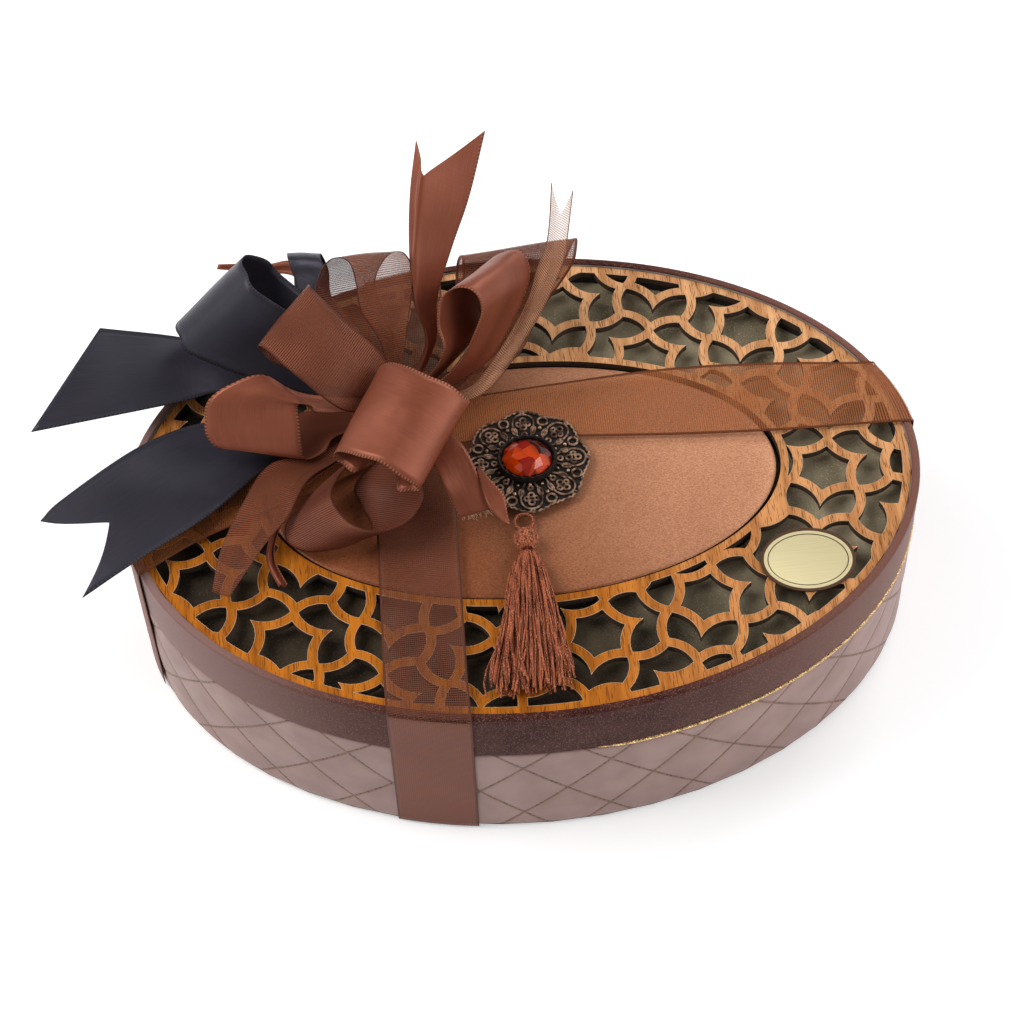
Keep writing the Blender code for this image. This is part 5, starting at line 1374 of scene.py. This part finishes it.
# %% Bow places
MILLIMETRE = 0.001
KNOT_HALF = (0.0088, 0.0088, 0.0070)
KNOT_LEVEL = (node_low("bow_knot").z + node_high("bow_knot").z) / 2
KNOT_CENTRE = (HALF_LENGTH * -0.273, HALF_WIDTH * 0.253, KNOT_LEVEL)
BOW_EDGES = {
    "tail_up": [
        (-1, 8, 4, 3, 7, 4), (9, 20, 16, 13, 21, 16), (6, 30, 30, 15, 32, 28),
        (6, 41, 46, 22, 44, 42), (8, 54, 62, 30, 56, 56), (12, 68, 76, 38, 72, 74),
    ],
    "loop_right": [
        (4, 8, -2, 4, 8, 2), (29, 26, 12, 15, 9, 22), (31, 37, 20, 14, 15, 32),
        (35, 48, 26, 16, 21, 40), (43, 52, 28, 22, 24, 42), (49, 51, 28, 28, 22, 42),
        (51, 44, 22, 31, 18, 36), (44, 31, 14, 27, 12, 28), (31, 16, 6, 20, 8, 16),
        (7, 5, 1, 6, 4, 5),
    ],
    "tail_organza_right": [
        (14, 2, 4, 15, -3, 4), (26, 0, 14, 31, 0, 10), (46, 21, 28, 49, 16, 24),
        (53, 33, 38, 58, 26, 34), (58, 42, 46, 64, 37, 42), (61, 56, 60, 69, 55, 56),
    ],
    "loop_organza_right": [
        (7, 6, -1, 8, 3, -1), (25, 23, 4, 41, 17, 4), (22, 41, 8, 54, 35, 10),
        (23, 53, 14, 67, 46, 22), (24, 56, 20, 70, 52, 26), (26, 61, 16, 70, 60, 22),
        (26, 54, 4, 60, 48, 10), (28, 36, -2, 42, 31, 0), (5, 5, -4, 7, 2, -4),
    ],
    "loop_centre": [
        (4, -10, 6, 2, -12, 4), (15, -17, 28, -6, -48, 20), (21, -20, 29, -1, -52, 22),
        (23, -22, 32, 2, -54, 24), (21, -23, 37, 0, -54, 28), (16, -20, 41, -5, -52, 32),
        (9, -17, 43, -11, -48, 35), (2, -12, 43, -18, -44, 34), (-4, -7, 40, -24, -39, 31),
        (-8, -4, 35, -27, -36, 27), (-8, -2, 30, -28, -35, 22), (-5, -4, 28, -25, -36, 20),
        (1, -7, 27, -19, -39, 19), (-5, -8, 8, -6, -11, 6),
    ],
    "loop_left": [
        (-6, 3, 4, -7, -1, 4), (-38, -2, 20, -32, -9, 16), (-52, 2, 28, -35, -10, 22),
        (-65, 0, 26, -39, -10, 24), (-73, -3, 22, -40, -10, 22), (-75, -6, 16, -40, -15, 18),
        (-75, -11, 10, -40, -20, 12), (-69, -14, 6, -39, -22, 6), (-53, -6, 2, -32, -18, 4),
        (-39, 3, 2, -27, -11, 4), (-9, 1, -1, -8, -3, -1),
    ],
    "loop_organza_left": [
        (-3, 5, 5, -6, 2, 5), (-7, 4, 30, -22, -17, 26), (-20, 13, 42, -38, -9, 38),
        (-30, 23, 48, -49, 2, 42), (-32, 28, 46, -52, 6, 40), (-33, 30, 40, -52, 9, 34),
        (-27, 27, 30, -44, 6, 26), (-6, 6, 3, -8, 2, 3),
    ],
    "loop_organza_top": [
        (-4, 8, 0, -1, 9, 0), (-16, 29, 12, -3, 30, 12), (-30, 43, 20, -8, 45, 22),
        (-28, 48, 30, -4, 49, 32), (-23, 47, 38, 1, 46, 40), (-17, 41, 42, 5, 40, 44),
        (-15, 33, 38, 7, 34, 40), (-14, 25, 32, 5, 26, 34), (-8, 16, 24, 2, 16, 26),
        (-4, 5, 5, -2, 6, 5),
    ],
    "loop_front": [
        (-6, -6, 1, -4, -8, 1), (-33, -29, 0, -23, -26, 6), (-42, -37, -2, -29, -36, 8),
        (-48, -44, -3, -30, -44, 10), (-48, -52, -4, -27, -50, 8), (-40, -57, -4, -22, -56, 8),
        (-25, -55, -5, -13, -59, 8), (-17, -48, -6, -3, -54, 6), (-20, -37, -6, 3, -45, 6),
        (-21, -27, -4, 3, -34, 4), (0, -9, 0, 3, -8, 0),
    ],
    "tail_organza_left": [
        (-9, -1, -2, -7, -5, -2), (-35, -16, 2, -29, -22, 2), (-53, -22, 4, -39, -31, 4),
        (-64, -40, 4, -47, -45, 2), (-72, -57, 2, -56, -55, 0), (-76, -72, -2, -70, -74, -4),
    ],
    "tail_curl": [
        (-7, -3, -4, -6, -4, -4), (-38, -18, -6, -35, -21, -6), (-49, -31, -6, -46, -33, -6),
        (-54, -45, -6, -52, -48, -6), (-56, -58, -6, -53, -58, -6), (-52, -70, -6, -49, -69, -6),
    ],
    "tail_right": [
        (8, -9, 4, 5, -12, 4), (19, -24, 10, 9, -36, 10), (26, -43, 6, 13, -46, 6),
        (30, -50, 4, 16, -52, 2),
    ],
    "tail_brown_back": [
        (-1, 6, -5, 1, 6, -5), (-34, 68, -4, -33, 76, -2), (-53, 73, 2, -51, 79, 2),
        (-70, 74, 6, -69, 77, 6),
    ],
    "loop_black": [
        (-9, 1, 0, -8, 5, 0), (-35, 8, 5, -21, 14, 16), (-58, 15, 10, -35, 23, 30),
        (-80, 24, 17, -52, 31, 42), (-83, 30, 19, -55, 38, 44), (-85, 36, 18, -57, 45, 42),
        (-84, 42, 15, -56, 52, 38), (-82, 45, 10, -53, 56, 33), (-78, 46, 5, -48, 58, 27),
        (-73, 44, 0, -44, 56, 21), (-56, 31, -2, -30, 42, 16), (-35, 17, -4, -18, 26, 8),
        (-7, 3, -3, -6, 5, -3),
    ],
    "loop_black_back": [
        (-2, 7, -4, -4, 6, -4), (-24, 54, 0, -36, 54, 0), (-26, 67, 8, -40, 70, 6),
        (-28, 67, 18, -41, 72, 14), (-28, 59, 24, -41, 63, 22), (-26, 53, 22, -39, 56, 18),
        (-24, 41, 12, -35, 42, 10), (-2, 8, -1, -5, 7, -1),
    ],
    "tail_black_upper": [
        (-4, 4, -5, -6, 2, -5), (-40, 30, -6, -46, 16, -6), (-67, 42, -4, -69, 21, -4),
        (-86, 45, 2, -89, 14, 0), (-115, 46, 10, -141, 0, 8),
    ],
    "tail_black_lower": [
        (-6, 1, -5, -6, -2, -5), (-41, 9, -6, -34, -5, -6), (-78, 5, -2, -51, -14, -4),
        (-102, -7, 2, -75, -37, -2), (-130, -28, 2, -104, -58, 0), (-138, -37, 2, -123, -70, -2),
    ],
}
print("knot at", [round(value, 4) for value in KNOT_CENTRE])

# %% Bow helpers
KNOT_FADE = 0.02


def seat_on_knot(point):
    """The place towards the knot's centre that lies one gap off its surface."""
    away = point - np.array(KNOT_CENTRE)
    on_surface = away / np.linalg.norm(away / np.array(KNOT_HALF))
    return np.array(KNOT_CENTRE) + on_surface * (1 + GAP / np.linalg.norm(on_surface))


def bow_lift(size, wave, phase, pleats, depth):
    """Soft waves along a ribbon and, on a gathered one, pleats along it. Both fade at the knot."""
    def lift(u, v, distance):
        fade = min(1.0, distance / KNOT_FADE)
        waves = math.sin(math.tau * distance / wave + phase + 2.5 * u)
        return fade * (size * waves * math.sin(math.pi * u) + depth * math.sin(math.tau * pleats * u))
    return lift


def folded_rows(rows, fold_share, fold_depth):
    """Five points across each row: a fold line, and a point half way to it from either edge."""
    folded = []
    for number, (first, last) in enumerate(rows):
        grown = min(number / 2, 1.0)
        fold = first + (last - first) * (0.5 + (fold_share - 0.5) * grown)
        fold = fold + np.array(FOLD_AHEAD) * fold_depth * grown
        folded.append([first, (first + fold) / 2, fold, (fold + last) / 2, last])
    return np.array(folded)


def bow_rows(node_name):
    """The rows of one ribbon of the bow, each a pair of points in metres."""
    return np.array(BOW_EDGES[node_name]).reshape(-1, 2, 3) * MILLIMETRE + np.array(KNOT_CENTRE)


def cloth_of(node_name):
    """The finish of a ribbon of the bow, and a label that sets how much it waves."""
    if node_name in OWN_CLOTH:
        return OWN_CLOTH[node_name]
    if "organza" in node_name:
        return SHEER
    return BLACK if "black" in node_name else BROWN


def bow_ribbon(node_name, phase):
    """Bend one ribbon of the bow. A loop comes back to the knot and a tail does not."""
    finish, slot = cloth_of(node_name)
    rows = bow_rows(node_name)
    for end in ([0, -1] if node_name.startswith("loop") else [0]):
        rows[end] = [seat_on_knot(point) for point in rows[end]]
    if node_name in NARROWED:
        middle = rows.mean(axis=1, keepdims=True)
        rows = middle + (rows - middle) * NARROWED[node_name]
    widest_row = np.linalg.norm(rows[:, 1] - rows[:, 0], axis=1).max()
    if node_name in FOLDED:
        rows = folded_rows(rows, *FOLDED[node_name])
    size = 0.0005 if slot == "sheer_ribbon" else 0.0003
    pleats, depth, across = PLEATED.get(node_name, FLAT_CLOTH)
    piece, length, area = bent_ribbon(
        node_name + "_cloth", rows, BOW_WIDTH, across, 0.0018, bow_lift(size, 0.031, phase, pleats, depth),
        finish, "ribbon_wrap", [node_name], FORKED.get(node_name, 0.0),
    )
    return length


print("bow helpers ready")

# %% Bend the bow's ribbons
PLEATED = {
    "tail_organza_right": (1, 0.0014, 40),
    "tail_brown_back": (1, 0.0006, 24),
    "tail_curl": (1, 0.0012, 32),
    "tail_up": (0, 0.0, 24),
}
NARROWED = {"tail_brown_back": 0.75}
FOLDED = {"tail_up": (0.22, 0.0055)}
FOLD_AHEAD = (-0.20, -0.85, 0.48)
FLAT_CLOTH = (0, 0.0, 14)
BROWN = (brown_satin, "brown_ribbon")
BLACK = (black_satin, "black_ribbon")
SHEER = (organzas["brown_organza"], "sheer_ribbon")
PALE = (organzas["pale_organza"], "sheer_ribbon")
DENSE = (organzas["dense_organza"], "brown_ribbon")
OWN_CLOTH = {"tail_organza_right": PALE, "loop_front": DENSE}
FORKED = {"tail_up": 0.13, "tail_organza_right": 0.10, "tail_black_lower": 0.16}
PHASE_STEP = 1.7

for number, node_name in enumerate(BOW_EDGES):
    length = bow_ribbon(node_name, number * PHASE_STEP)
    print(node_name, round(length, 3), "m")

# %% [markdown]
# ## Torn strip and frayed end
# The brown tail beside the brooch was torn, not cut. A narrow strip of it still hangs on and reaches
# down beside the tassel's head. It stops short of the head, so that the tassel can swing up past it.
# Short pale threads stand out along the tear. The strip is one more bent grid, and the threads are
# short round curves with seeded chance, so that every run gives the same tear.

# %% Torn strip
STRIP_ROWS = [
    ((-0.01617, -0.00700, 0.0950), (-0.01720, -0.00760, 0.0950)),
    ((-0.01217, -0.01344, 0.0938), (-0.01620, -0.01560, 0.0935)),
    ((-0.00787, -0.01963, 0.0924), (-0.01445, -0.02317, 0.0920)),
    ((-0.00760, -0.02560, 0.0900), (-0.01080, -0.02740, 0.0897)),
    ((-0.00690, -0.02950, 0.0886), (-0.00790, -0.02990, 0.0885)),
]
strip, length, area = bent_ribbon(
    "torn_strip", STRIP_ROWS, BOW_WIDTH / 4, 6, 0.0012, bow_lift(0.0003, 0.011, 0.6, 0, 0.0),
    brown_satin, "ribbon_wrap", [],
)
print("torn strip", round(length, 3), "m")

# %% Frayed threads
FRAY_COUNT = 34
FRAY_RADIUS = 0.00007
FRAY_SHORTEST = 0.0007
FRAY_LONGEST = 0.0024
FRAY_SHARES = (-0.3, 0.0, 0.35, 0.7, 1.0)

fray_finish, shader = finish_material("frayed_thread", 0.0, 0.0, 0.3)
fine = noise(object_place(shader), 1400.0)
tone = mixed(step_up(fine, 0.35, 0.65), (0.36, 0.15, 0.08, 1), (0.72, 0.50, 0.36, 1))
plug(shader, Base_Color=tone, Roughness=0.5)
fray_chance = np.random.default_rng(11)
end_rows = bow_rows("tail_right")[-2:]
outward = end_rows[1].mean(axis=0) - end_rows[0].mean(axis=0)
outward = outward / np.linalg.norm(outward)
routes = []
for thread in range(FRAY_COUNT):
    start = end_rows[1][0] + (end_rows[1][1] - end_rows[1][0]) * fray_chance.uniform(0.02, 0.98)
    reach = fray_chance.uniform(FRAY_SHORTEST, FRAY_LONGEST)
    bend = fray_chance.uniform(-0.5, 0.5, 3)
    routes.append([tuple(start + (outward + bend * share) * reach * share) for share in FRAY_SHARES])
builder = thread_mesh("frayed_threads", routes, FRAY_RADIUS, False, 0)
frays = place_piece("frayed_threads", builder, [fray_finish], "ribbon_wrap")
print("frayed threads", len(routes))

# %% [markdown]
# ## Knot
# The ribbons are gathered tightly and tied with one turn of satin. What shows is a small bundle with
# folds that run out from the tie, so a ball is squashed and pleated.

# %% Knot
PLEATS = 9
PLEAT_DEPTH = 0.06

builder = bmesh.new()
builder.loops.layers.uv.new("cloth")
bmesh.ops.create_uvsphere(builder, u_segments=72, v_segments=28, radius=1.0, calc_uvs=True)
for vertex in builder.verts:
    turn = math.atan2(vertex.co.y, vertex.co.x)
    pleat = 1 - PLEAT_DEPTH * (0.5 + 0.5 * math.cos(PLEATS * turn + 4.0 * vertex.co.z))
    vertex.co = Vector(KNOT_CENTRE) + Vector(KNOT_HALF) * vertex.co * pleat
cloth = builder.loops.layers.uv.active
for face in builder.faces:
    for loop in face.loops:
        loop[cloth].uv = (0.004 + loop[cloth].uv.x * 0.028, loop[cloth].uv.y * 0.022)
knot = place_piece("satin_knot", builder, [brown_satin], "ribbon_wrap", ["bow_knot"])
print("knot pleats", PLEATS)

# %% [markdown]
# ## Brooch
# The brooch is cast filigree in dark bronze: a scalloped plate with eight petals of fine wire, a small
# ring cup between each pair, beads, and a faceted amber-red stone in a toothed bezel. The wires are
# thin round threads laid on the plate.

# %% Bronze finishes
bronze_finish, shader = finish_material("rubbed_bronze", 0.9)
place = object_place(shader)
z = axes_of(place)[2]
tarnish = noise(place, 420.0, 3.0, 0.6)
BROOCH_LOW = node_low("brooch_plate").z
rubbed = step_up(z, BROOCH_LOW + 0.0008, BROOCH_LOW + 0.0012)
dark = mixed(tarnish, (0.030, 0.019, 0.014, 1), (0.095, 0.060, 0.044, 1))
bright = mixed(step_up(tarnish, 0.35, 0.65), (0.13, 0.080, 0.058, 1), (0.62, 0.40, 0.28, 1))
tone = mixed(rubbed, dark, bright)
rough = tarnish * 0.3 + 0.22
plug(shader, Base_Color=tone, Roughness=rough, Normal=bumped(tarnish, 0.00015, 0.5))
patina_finish, shader = finish_material("dark_patina", 0.3, 0.0, 0.3)
pits = noise(object_place(shader), 1300.0, 3.0, 0.7)
tone = mixed(pits, (0.005, 0.003, 0.002, 1), (0.020, 0.012, 0.008, 1))
plug(shader, Base_Color=tone, Roughness=0.55, Normal=bumped(pits, 0.0002, 0.8))
print("bronze ready")

# %% Brooch plate
BROOCH_CENTRE = (HALF_LENGTH * 0.016, HALF_WIDTH * 0.042)
BROOCH_RADIUS = 0.0240
PETALS = 8
SCALLOP = 0.034
PLATE_THICK = 0.0006
PLATE_INSET = 0.0006
PLATE_STEPS = 192
WIRE_LEVEL = BROOCH_LOW + PLATE_THICK + 0.0003


def scalloped_radius(turn, inset=0.0):
    return (BROOCH_RADIUS - inset) * (1 - SCALLOP * (1 - math.cos(PETALS * turn)))


# The plate is solid and near black: partly the bronze's dark patina, partly painted shade that fills the
# filigree's openings where shadow would show.
builder = bmesh.new()
made = bmesh.ops.create_circle(builder, cap_ends=True, segments=PLATE_STEPS, radius=1.0)
for vertex in made["verts"]:
    turn = math.atan2(vertex.co.y, vertex.co.x)
    vertex.co = vertex.co * scalloped_radius(turn, PLATE_INSET)
drawn_up(builder, list(builder.faces), PLATE_THICK)
bmesh.ops.recalc_face_normals(builder, faces=builder.faces)
bmesh.ops.translate(builder, verts=builder.verts, vec=(*BROOCH_CENTRE, BROOCH_LOW))
plate = place_piece("brooch_backing", builder, [patina_finish], "ribbon_wrap", ["brooch_plate"])
print("brooch plate", 2 * BROOCH_RADIUS, "m across")

# %% Filigree wires
WIRE_RADIUS = 0.00044
PETAL_STEPS = 30
PETAL_MIDDLE = 0.635
PETAL_HALF_OUT = 0.285
PETAL_HALF_SIDE = 0.155
PETAL_BULGE = 0.45
BETWEEN = math.pi / PETALS


def on_brooch(out, side, turn, lift=0.0):
    """A place in shares of the brooch's radius, outwards and sideways from a direction."""
    spot = turned((out * BROOCH_RADIUS, side * BROOCH_RADIUS), turn)
    return (BROOCH_CENTRE[0] + spot.x, BROOCH_CENTRE[1] + spot.y, WIRE_LEVEL + lift)


def ring_route(turn, distance, half_out, half_side, steps, lift):
    """A closed oval wire at a distance along a direction from the brooch's centre."""
    def place(angle):
        return on_brooch(distance + half_out * math.cos(angle), half_side * math.sin(angle), turn, lift)
    return round_route(steps, place)


def petal_route(turn):
    """A pointed petal, wide near its outer end."""
    def place(angle):
        side = PETAL_HALF_SIDE * math.sin(angle) * (1.0 + PETAL_BULGE * math.cos(angle))
        return on_brooch(PETAL_MIDDLE + PETAL_HALF_OUT * math.cos(angle), side, turn)
    return round_route(PETAL_STEPS, place)


def rim_place(angle):
    """A place on the beaded wire along the scalloped rim."""
    radius = scalloped_radius(angle, WIRE_RADIUS) + RIM_BUMP * math.cos(RIM_BUMPS * angle)
    return on_brooch(radius / BROOCH_RADIUS, 0.0, angle)


RIM_BUMPS = 72
RIM_BUMP = 0.00022
RIM_POINTS = RIM_BUMPS * 6
# Each ring: its angle from the petal, distance, half length, half width, steps and lift.
RINGS = [
    (0.0, 0.80, 0.045, 0.045, 14, 0.0001),
    (0.0, 0.66, 0.045, 0.045, 14, 0.0001),
    (0.0, 0.52, 0.038, 0.038, 14, 0.0001),
    (-0.105, 0.73, 0.040, 0.032, 12, 0.0001),
    (BETWEEN - 0.15, 0.62, 0.070, 0.035, 14, 0.0),
    (0.105, 0.73, 0.040, 0.032, 12, 0.0001),
    (BETWEEN + 0.15, 0.62, 0.070, 0.035, 14, 0.0),
    (BETWEEN, 0.81, 0.075, 0.075, 24, 0.0003),
    (0.0, 0.955, 0.028, 0.028, 12, 0.0001),
]
routes = [round_route(RIM_POINTS, rim_place)]
for petal in range(PETALS):
    turn = math.tau * petal / PETALS
    routes.append(petal_route(turn))
    routes += [ring_route(turn + lean, *sizes) for lean, *sizes in RINGS]
builder = thread_mesh("filigree", routes, WIRE_RADIUS, True, 1)
filigree = place_piece("brooch_filigree", builder, [bronze_finish], "ribbon_wrap")
print("filigree wires", len(routes))

# %% Beads
BEAD_LIFT = 0.0002
BEADS = [(0.0, 0.46, 0.0007), (BETWEEN, 0.67, 0.0008), (BETWEEN, 0.50, 0.0006)]

builder = bmesh.new()
for petal in range(PETALS):
    turn = math.tau * petal / PETALS
    for lean, share, radius in BEADS:
        centre = on_brooch(share, 0.0, turn + lean, BEAD_LIFT)
        bmesh.ops.create_icosphere(builder, subdivisions=2, radius=radius, matrix=Matrix.Translation(centre))
beads = place_piece("brooch_beads", builder, [bronze_finish], "ribbon_wrap")
print("beads", len(BEADS) * PETALS)

# %% Bezel
STONE_HALF = (0.0095, 0.0088)
STONE_LOW = node_low("brooch_stone").z
STONE_HIGH = node_high("brooch_stone").z
BEZEL_WALL = 0.0016
BEZEL_HIGH = node_high("brooch_bezel").z
TEETH = 20
TOOTH_DEPTH = 0.0005
TEETH_ABOVE = 0.0008

builder = bmesh.new()
bezel_shares = [(0.0, 0.0), (0.0, 0.55), (0.35, 1.0), (0.70, 0.95), (1.0, 0.70), (1.0, 0.0)]
bezel_rise = BEZEL_HIGH - STONE_LOW
section = [(BEZEL_WALL * inset, STONE_LOW + bezel_rise * rise) for inset, rise in bezel_shares]
bezel_half = (STONE_HALF[0] + GAP + BEZEL_WALL, STONE_HALF[1] + GAP + BEZEL_WALL)
oval_band(builder, *bezel_half, section, TEETH * 8)
for vertex in builder.verts:
    if vertex.co.z > STONE_LOW + TEETH_ABOVE:
        turn = math.atan2(vertex.co.y / STONE_HALF[1], vertex.co.x / STONE_HALF[0])
        vertex.co.z -= TOOTH_DEPTH * (0.5 - 0.5 * math.cos(TEETH * turn))
bmesh.ops.translate(builder, verts=builder.verts, vec=(*BROOCH_CENTRE, 0.0))
bezel = place_piece("toothed_bezel", builder, [patina_finish], "ribbon_wrap", ["brooch_bezel"])
print("bezel teeth", TEETH)

# %% Faceted stone
FACETS = 12

builder = bmesh.new()
stone_rows = [(0.55, 0.0), (0.97, 0.26), (1.0, 0.32), (0.83, 0.66), (0.56, 1.0)]
for row, (share, rise) in enumerate(stone_rows):
    edges = oval_loop(builder, STONE_HALF[0] * share, STONE_HALF[1] * share, 0.0, FACETS)
    twist = math.pi / FACETS * (row % 2)
    height = STONE_LOW + (STONE_HIGH - STONE_LOW) * rise
    for vertex in {vertex for edge in edges for vertex in edge.verts}:
        angle = math.atan2(vertex.co.y / STONE_HALF[1], vertex.co.x / STONE_HALF[0]) + twist
        vertex.co = on_oval(angle, 0.0, height, STONE_HALF[0] * share, STONE_HALF[1] * share)
bmesh.ops.convex_hull(builder, input=builder.verts)
bmesh.ops.recalc_face_normals(builder, faces=builder.faces)
bmesh.ops.translate(builder, verts=builder.verts, vec=(*BROOCH_CENTRE, 0.0))
stone_finish, shader = finish_material("amber_glass")
place = object_place(shader)
# Cells of lighter and darker red are painted facet reflections, and the side towards the upper right is
# painted shade.
first, second, _ = flake(stretched(place, (200.0, 260.0, 90.0)), 1.0)
tone = mixed(step_up(first, 0.25, 0.75), (0.42, 0.010, 0.001, 1), (0.95, 0.090, 0.003, 1))
x, y, _ = axes_of(place)
shade = (y * 0.6 + x) * 60.0 + second * 0.8 - 0.30
tone = mixed(step_up(shade, 0.35, 0.70), tone, (0.060, 0.003, 0.001, 1))
plug(shader, Base_Color=tone, Roughness=0.03, Transmission_Weight=0.45, IOR=1.56)
stone = place_piece("faceted_stone", builder, [stone_finish], "ribbon_wrap", ["brooch_stone"], smooth=False)
dress("brooch_pad", boards["white_foam"])
print("stone faces", len(stone.data.polygons))

# %% [markdown]
# ## Tassel
# Silky thread is doubled over a loop, bound at the neck and cut level, more or less. The head is wound
# thread, and the skirt is many fine threads that fan out, wander a little and end unevenly. Each is a
# thin round curve.

# %% Thread finish
thread_finish, shader = finish_material("tassel_thread", 0.0, 0.0, 0.35, (1.0, 0.65, 0.5))
place = object_place(shader)
strand = step_up(noise(stretched(place, (1500.0, 90.0, 900.0)), 1.0), 0.36, 0.62)
ply_and_highlight = noise(stretched(place, (2500.0, 1900.0, 2500.0), math.radians(40)), 1.0, 1.0)
tone = mixed(strand, (0.080, 0.016, 0.007, 1), (0.390, 0.105, 0.048, 1))
# Painted highlight: pale streaks across the twist of the threads.
tone = mixed(step_up(ply_and_highlight, 0.5, 0.7), tone, (0.62, 0.24, 0.13, 1))
plug(shader, Base_Color=tone, Roughness=0.5, Normal=bumped(ply_and_highlight, 0.00015, 0.6))
print("thread ready")

# %% Tassel loop, head and neck
HEAD_CENTRE = (node_low("tassel_head") + node_high("tassel_head")) / 2
HEAD_RADIUS = 0.0046
LOOP_CENTRE = (node_low("tassel_loop") + node_high("tassel_loop")) / 2
LOOP_RADIUS = 0.0035
LOOP_STEPS = 96
LOOP_TWIST = 0.0003
HEAD_STRANDS = 26
HEAD_STEPS = 14
HEAD_WIND = HEAD_RADIUS - 0.0004
HEAD_CORE = HEAD_RADIUS - 0.0006
HEAD_TWIST = 0.9

loop_routes = []
for strand in range(2):
    route = []
    for step in range(LOOP_STEPS):
        turn = math.tau * step / LOOP_STEPS
        twist = math.tau * (step / 8 + strand / 2)
        radius = LOOP_RADIUS + LOOP_TWIST * math.cos(twist)
        route.append((
            LOOP_CENTRE.x + radius * math.cos(turn),
            LOOP_CENTRE.y + radius * math.sin(turn),
            LOOP_CENTRE.z + LOOP_TWIST * math.sin(twist),
        ))
    loop_routes.append(route)
builder = thread_mesh("loop_cord", loop_routes, 0.0004, True, 1)
loop_piece = place_piece("tassel_loop_cord", builder, [thread_finish], "ribbon_wrap", ["tassel_loop"])

head_routes = []
for strand in range(HEAD_STRANDS):
    route = []
    start = math.tau * strand / HEAD_STRANDS
    for step in range(HEAD_STEPS + 1):
        share = step / HEAD_STEPS
        bend = math.pi * (0.06 + 0.80 * share)
        radius = HEAD_WIND * math.sin(bend)
        angle = start + HEAD_TWIST * share
        route.append((
            HEAD_CENTRE.x + radius * math.cos(angle),
            HEAD_CENTRE.y + HEAD_WIND * math.cos(bend),
            HEAD_CENTRE.z + radius * math.sin(angle),
        ))
    head_routes.append(route)
builder = thread_mesh("head_threads", head_routes, 0.00052, False, 1)
core = Matrix.Translation(HEAD_CENTRE)
bmesh.ops.create_icosphere(builder, subdivisions=3, radius=HEAD_CORE, matrix=core)
head = place_piece("tassel_head_threads", builder, [thread_finish], "tassel", ["tassel_head"])
print("head threads", len(head_routes))

# %% Tassel skirt
SKIRT_LOW = node_low("tassel_skirt")
SKIRT_HIGH = node_high("tassel_skirt")
THREADS = 190
THREAD_POINTS = 12
THREAD_RADIUS = 0.00034
SKIRT_HALF_WIDTH = 0.0166
SKIRT_ROWS = [
    (0.00, 0.17, 0.60), (0.04, 0.27, 0.92), (0.16, 0.42, 1.00), (0.39, 0.60, 0.98),
    (0.66, 0.80, 0.90), (0.86, 0.95, 0.80), (1.00, 1.00, 0.66),
]
SKIRT_SWAY = 0.0040
SKIRT_FILL = 0.97
SKIRT_PRESS = 0.94
WANDER = 0.0016

chance = np.random.default_rng(7)
skirt_length = SKIRT_HIGH.y - SKIRT_LOW.y
half_height = (SKIRT_HIGH.z - SKIRT_LOW.z) / 2
routes = []
for strand in range(THREADS):
    spread = math.sqrt(chance.uniform(0.0, 1.0)) * SKIRT_FILL
    around = chance.uniform(0.0, math.tau)
    reach = chance.uniform(0.86, 1.0)
    sway = chance.uniform(-1.0, 1.0, 4)
    route = []
    for step in range(THREAD_POINTS):
        share = step / (THREAD_POINTS - 1) * reach
        down = np.interp(share, [row[0] for row in SKIRT_ROWS], range(len(SKIRT_ROWS)))
        _, wide, high = smooth_between(SKIRT_ROWS, down / (len(SKIRT_ROWS) - 1))
        slow = sway[0] * math.sin(5.0 * share + sway[1] * 3)
        quick = sway[2] * math.sin(11.0 * share + sway[3] * 3)
        x = HEAD_CENTRE.x - SKIRT_SWAY * share + SKIRT_HALF_WIDTH * wide * spread * math.cos(around)
        rise = half_height * high * (1 + spread * math.sin(around)) * SKIRT_PRESS
        level = SKIRT_LOW.z + THREAD_RADIUS + rise
        route.append((x + WANDER * share * (slow + quick), SKIRT_HIGH.y - skirt_length * share, level))
    routes.append(route)
builder = thread_mesh("skirt_threads", routes, THREAD_RADIUS, False, 0)
skirt = place_piece("tassel_skirt_threads", builder, [thread_finish], "tassel", ["tassel_skirt"])
print("skirt threads", THREADS, "faces", len(skirt.data.polygons))
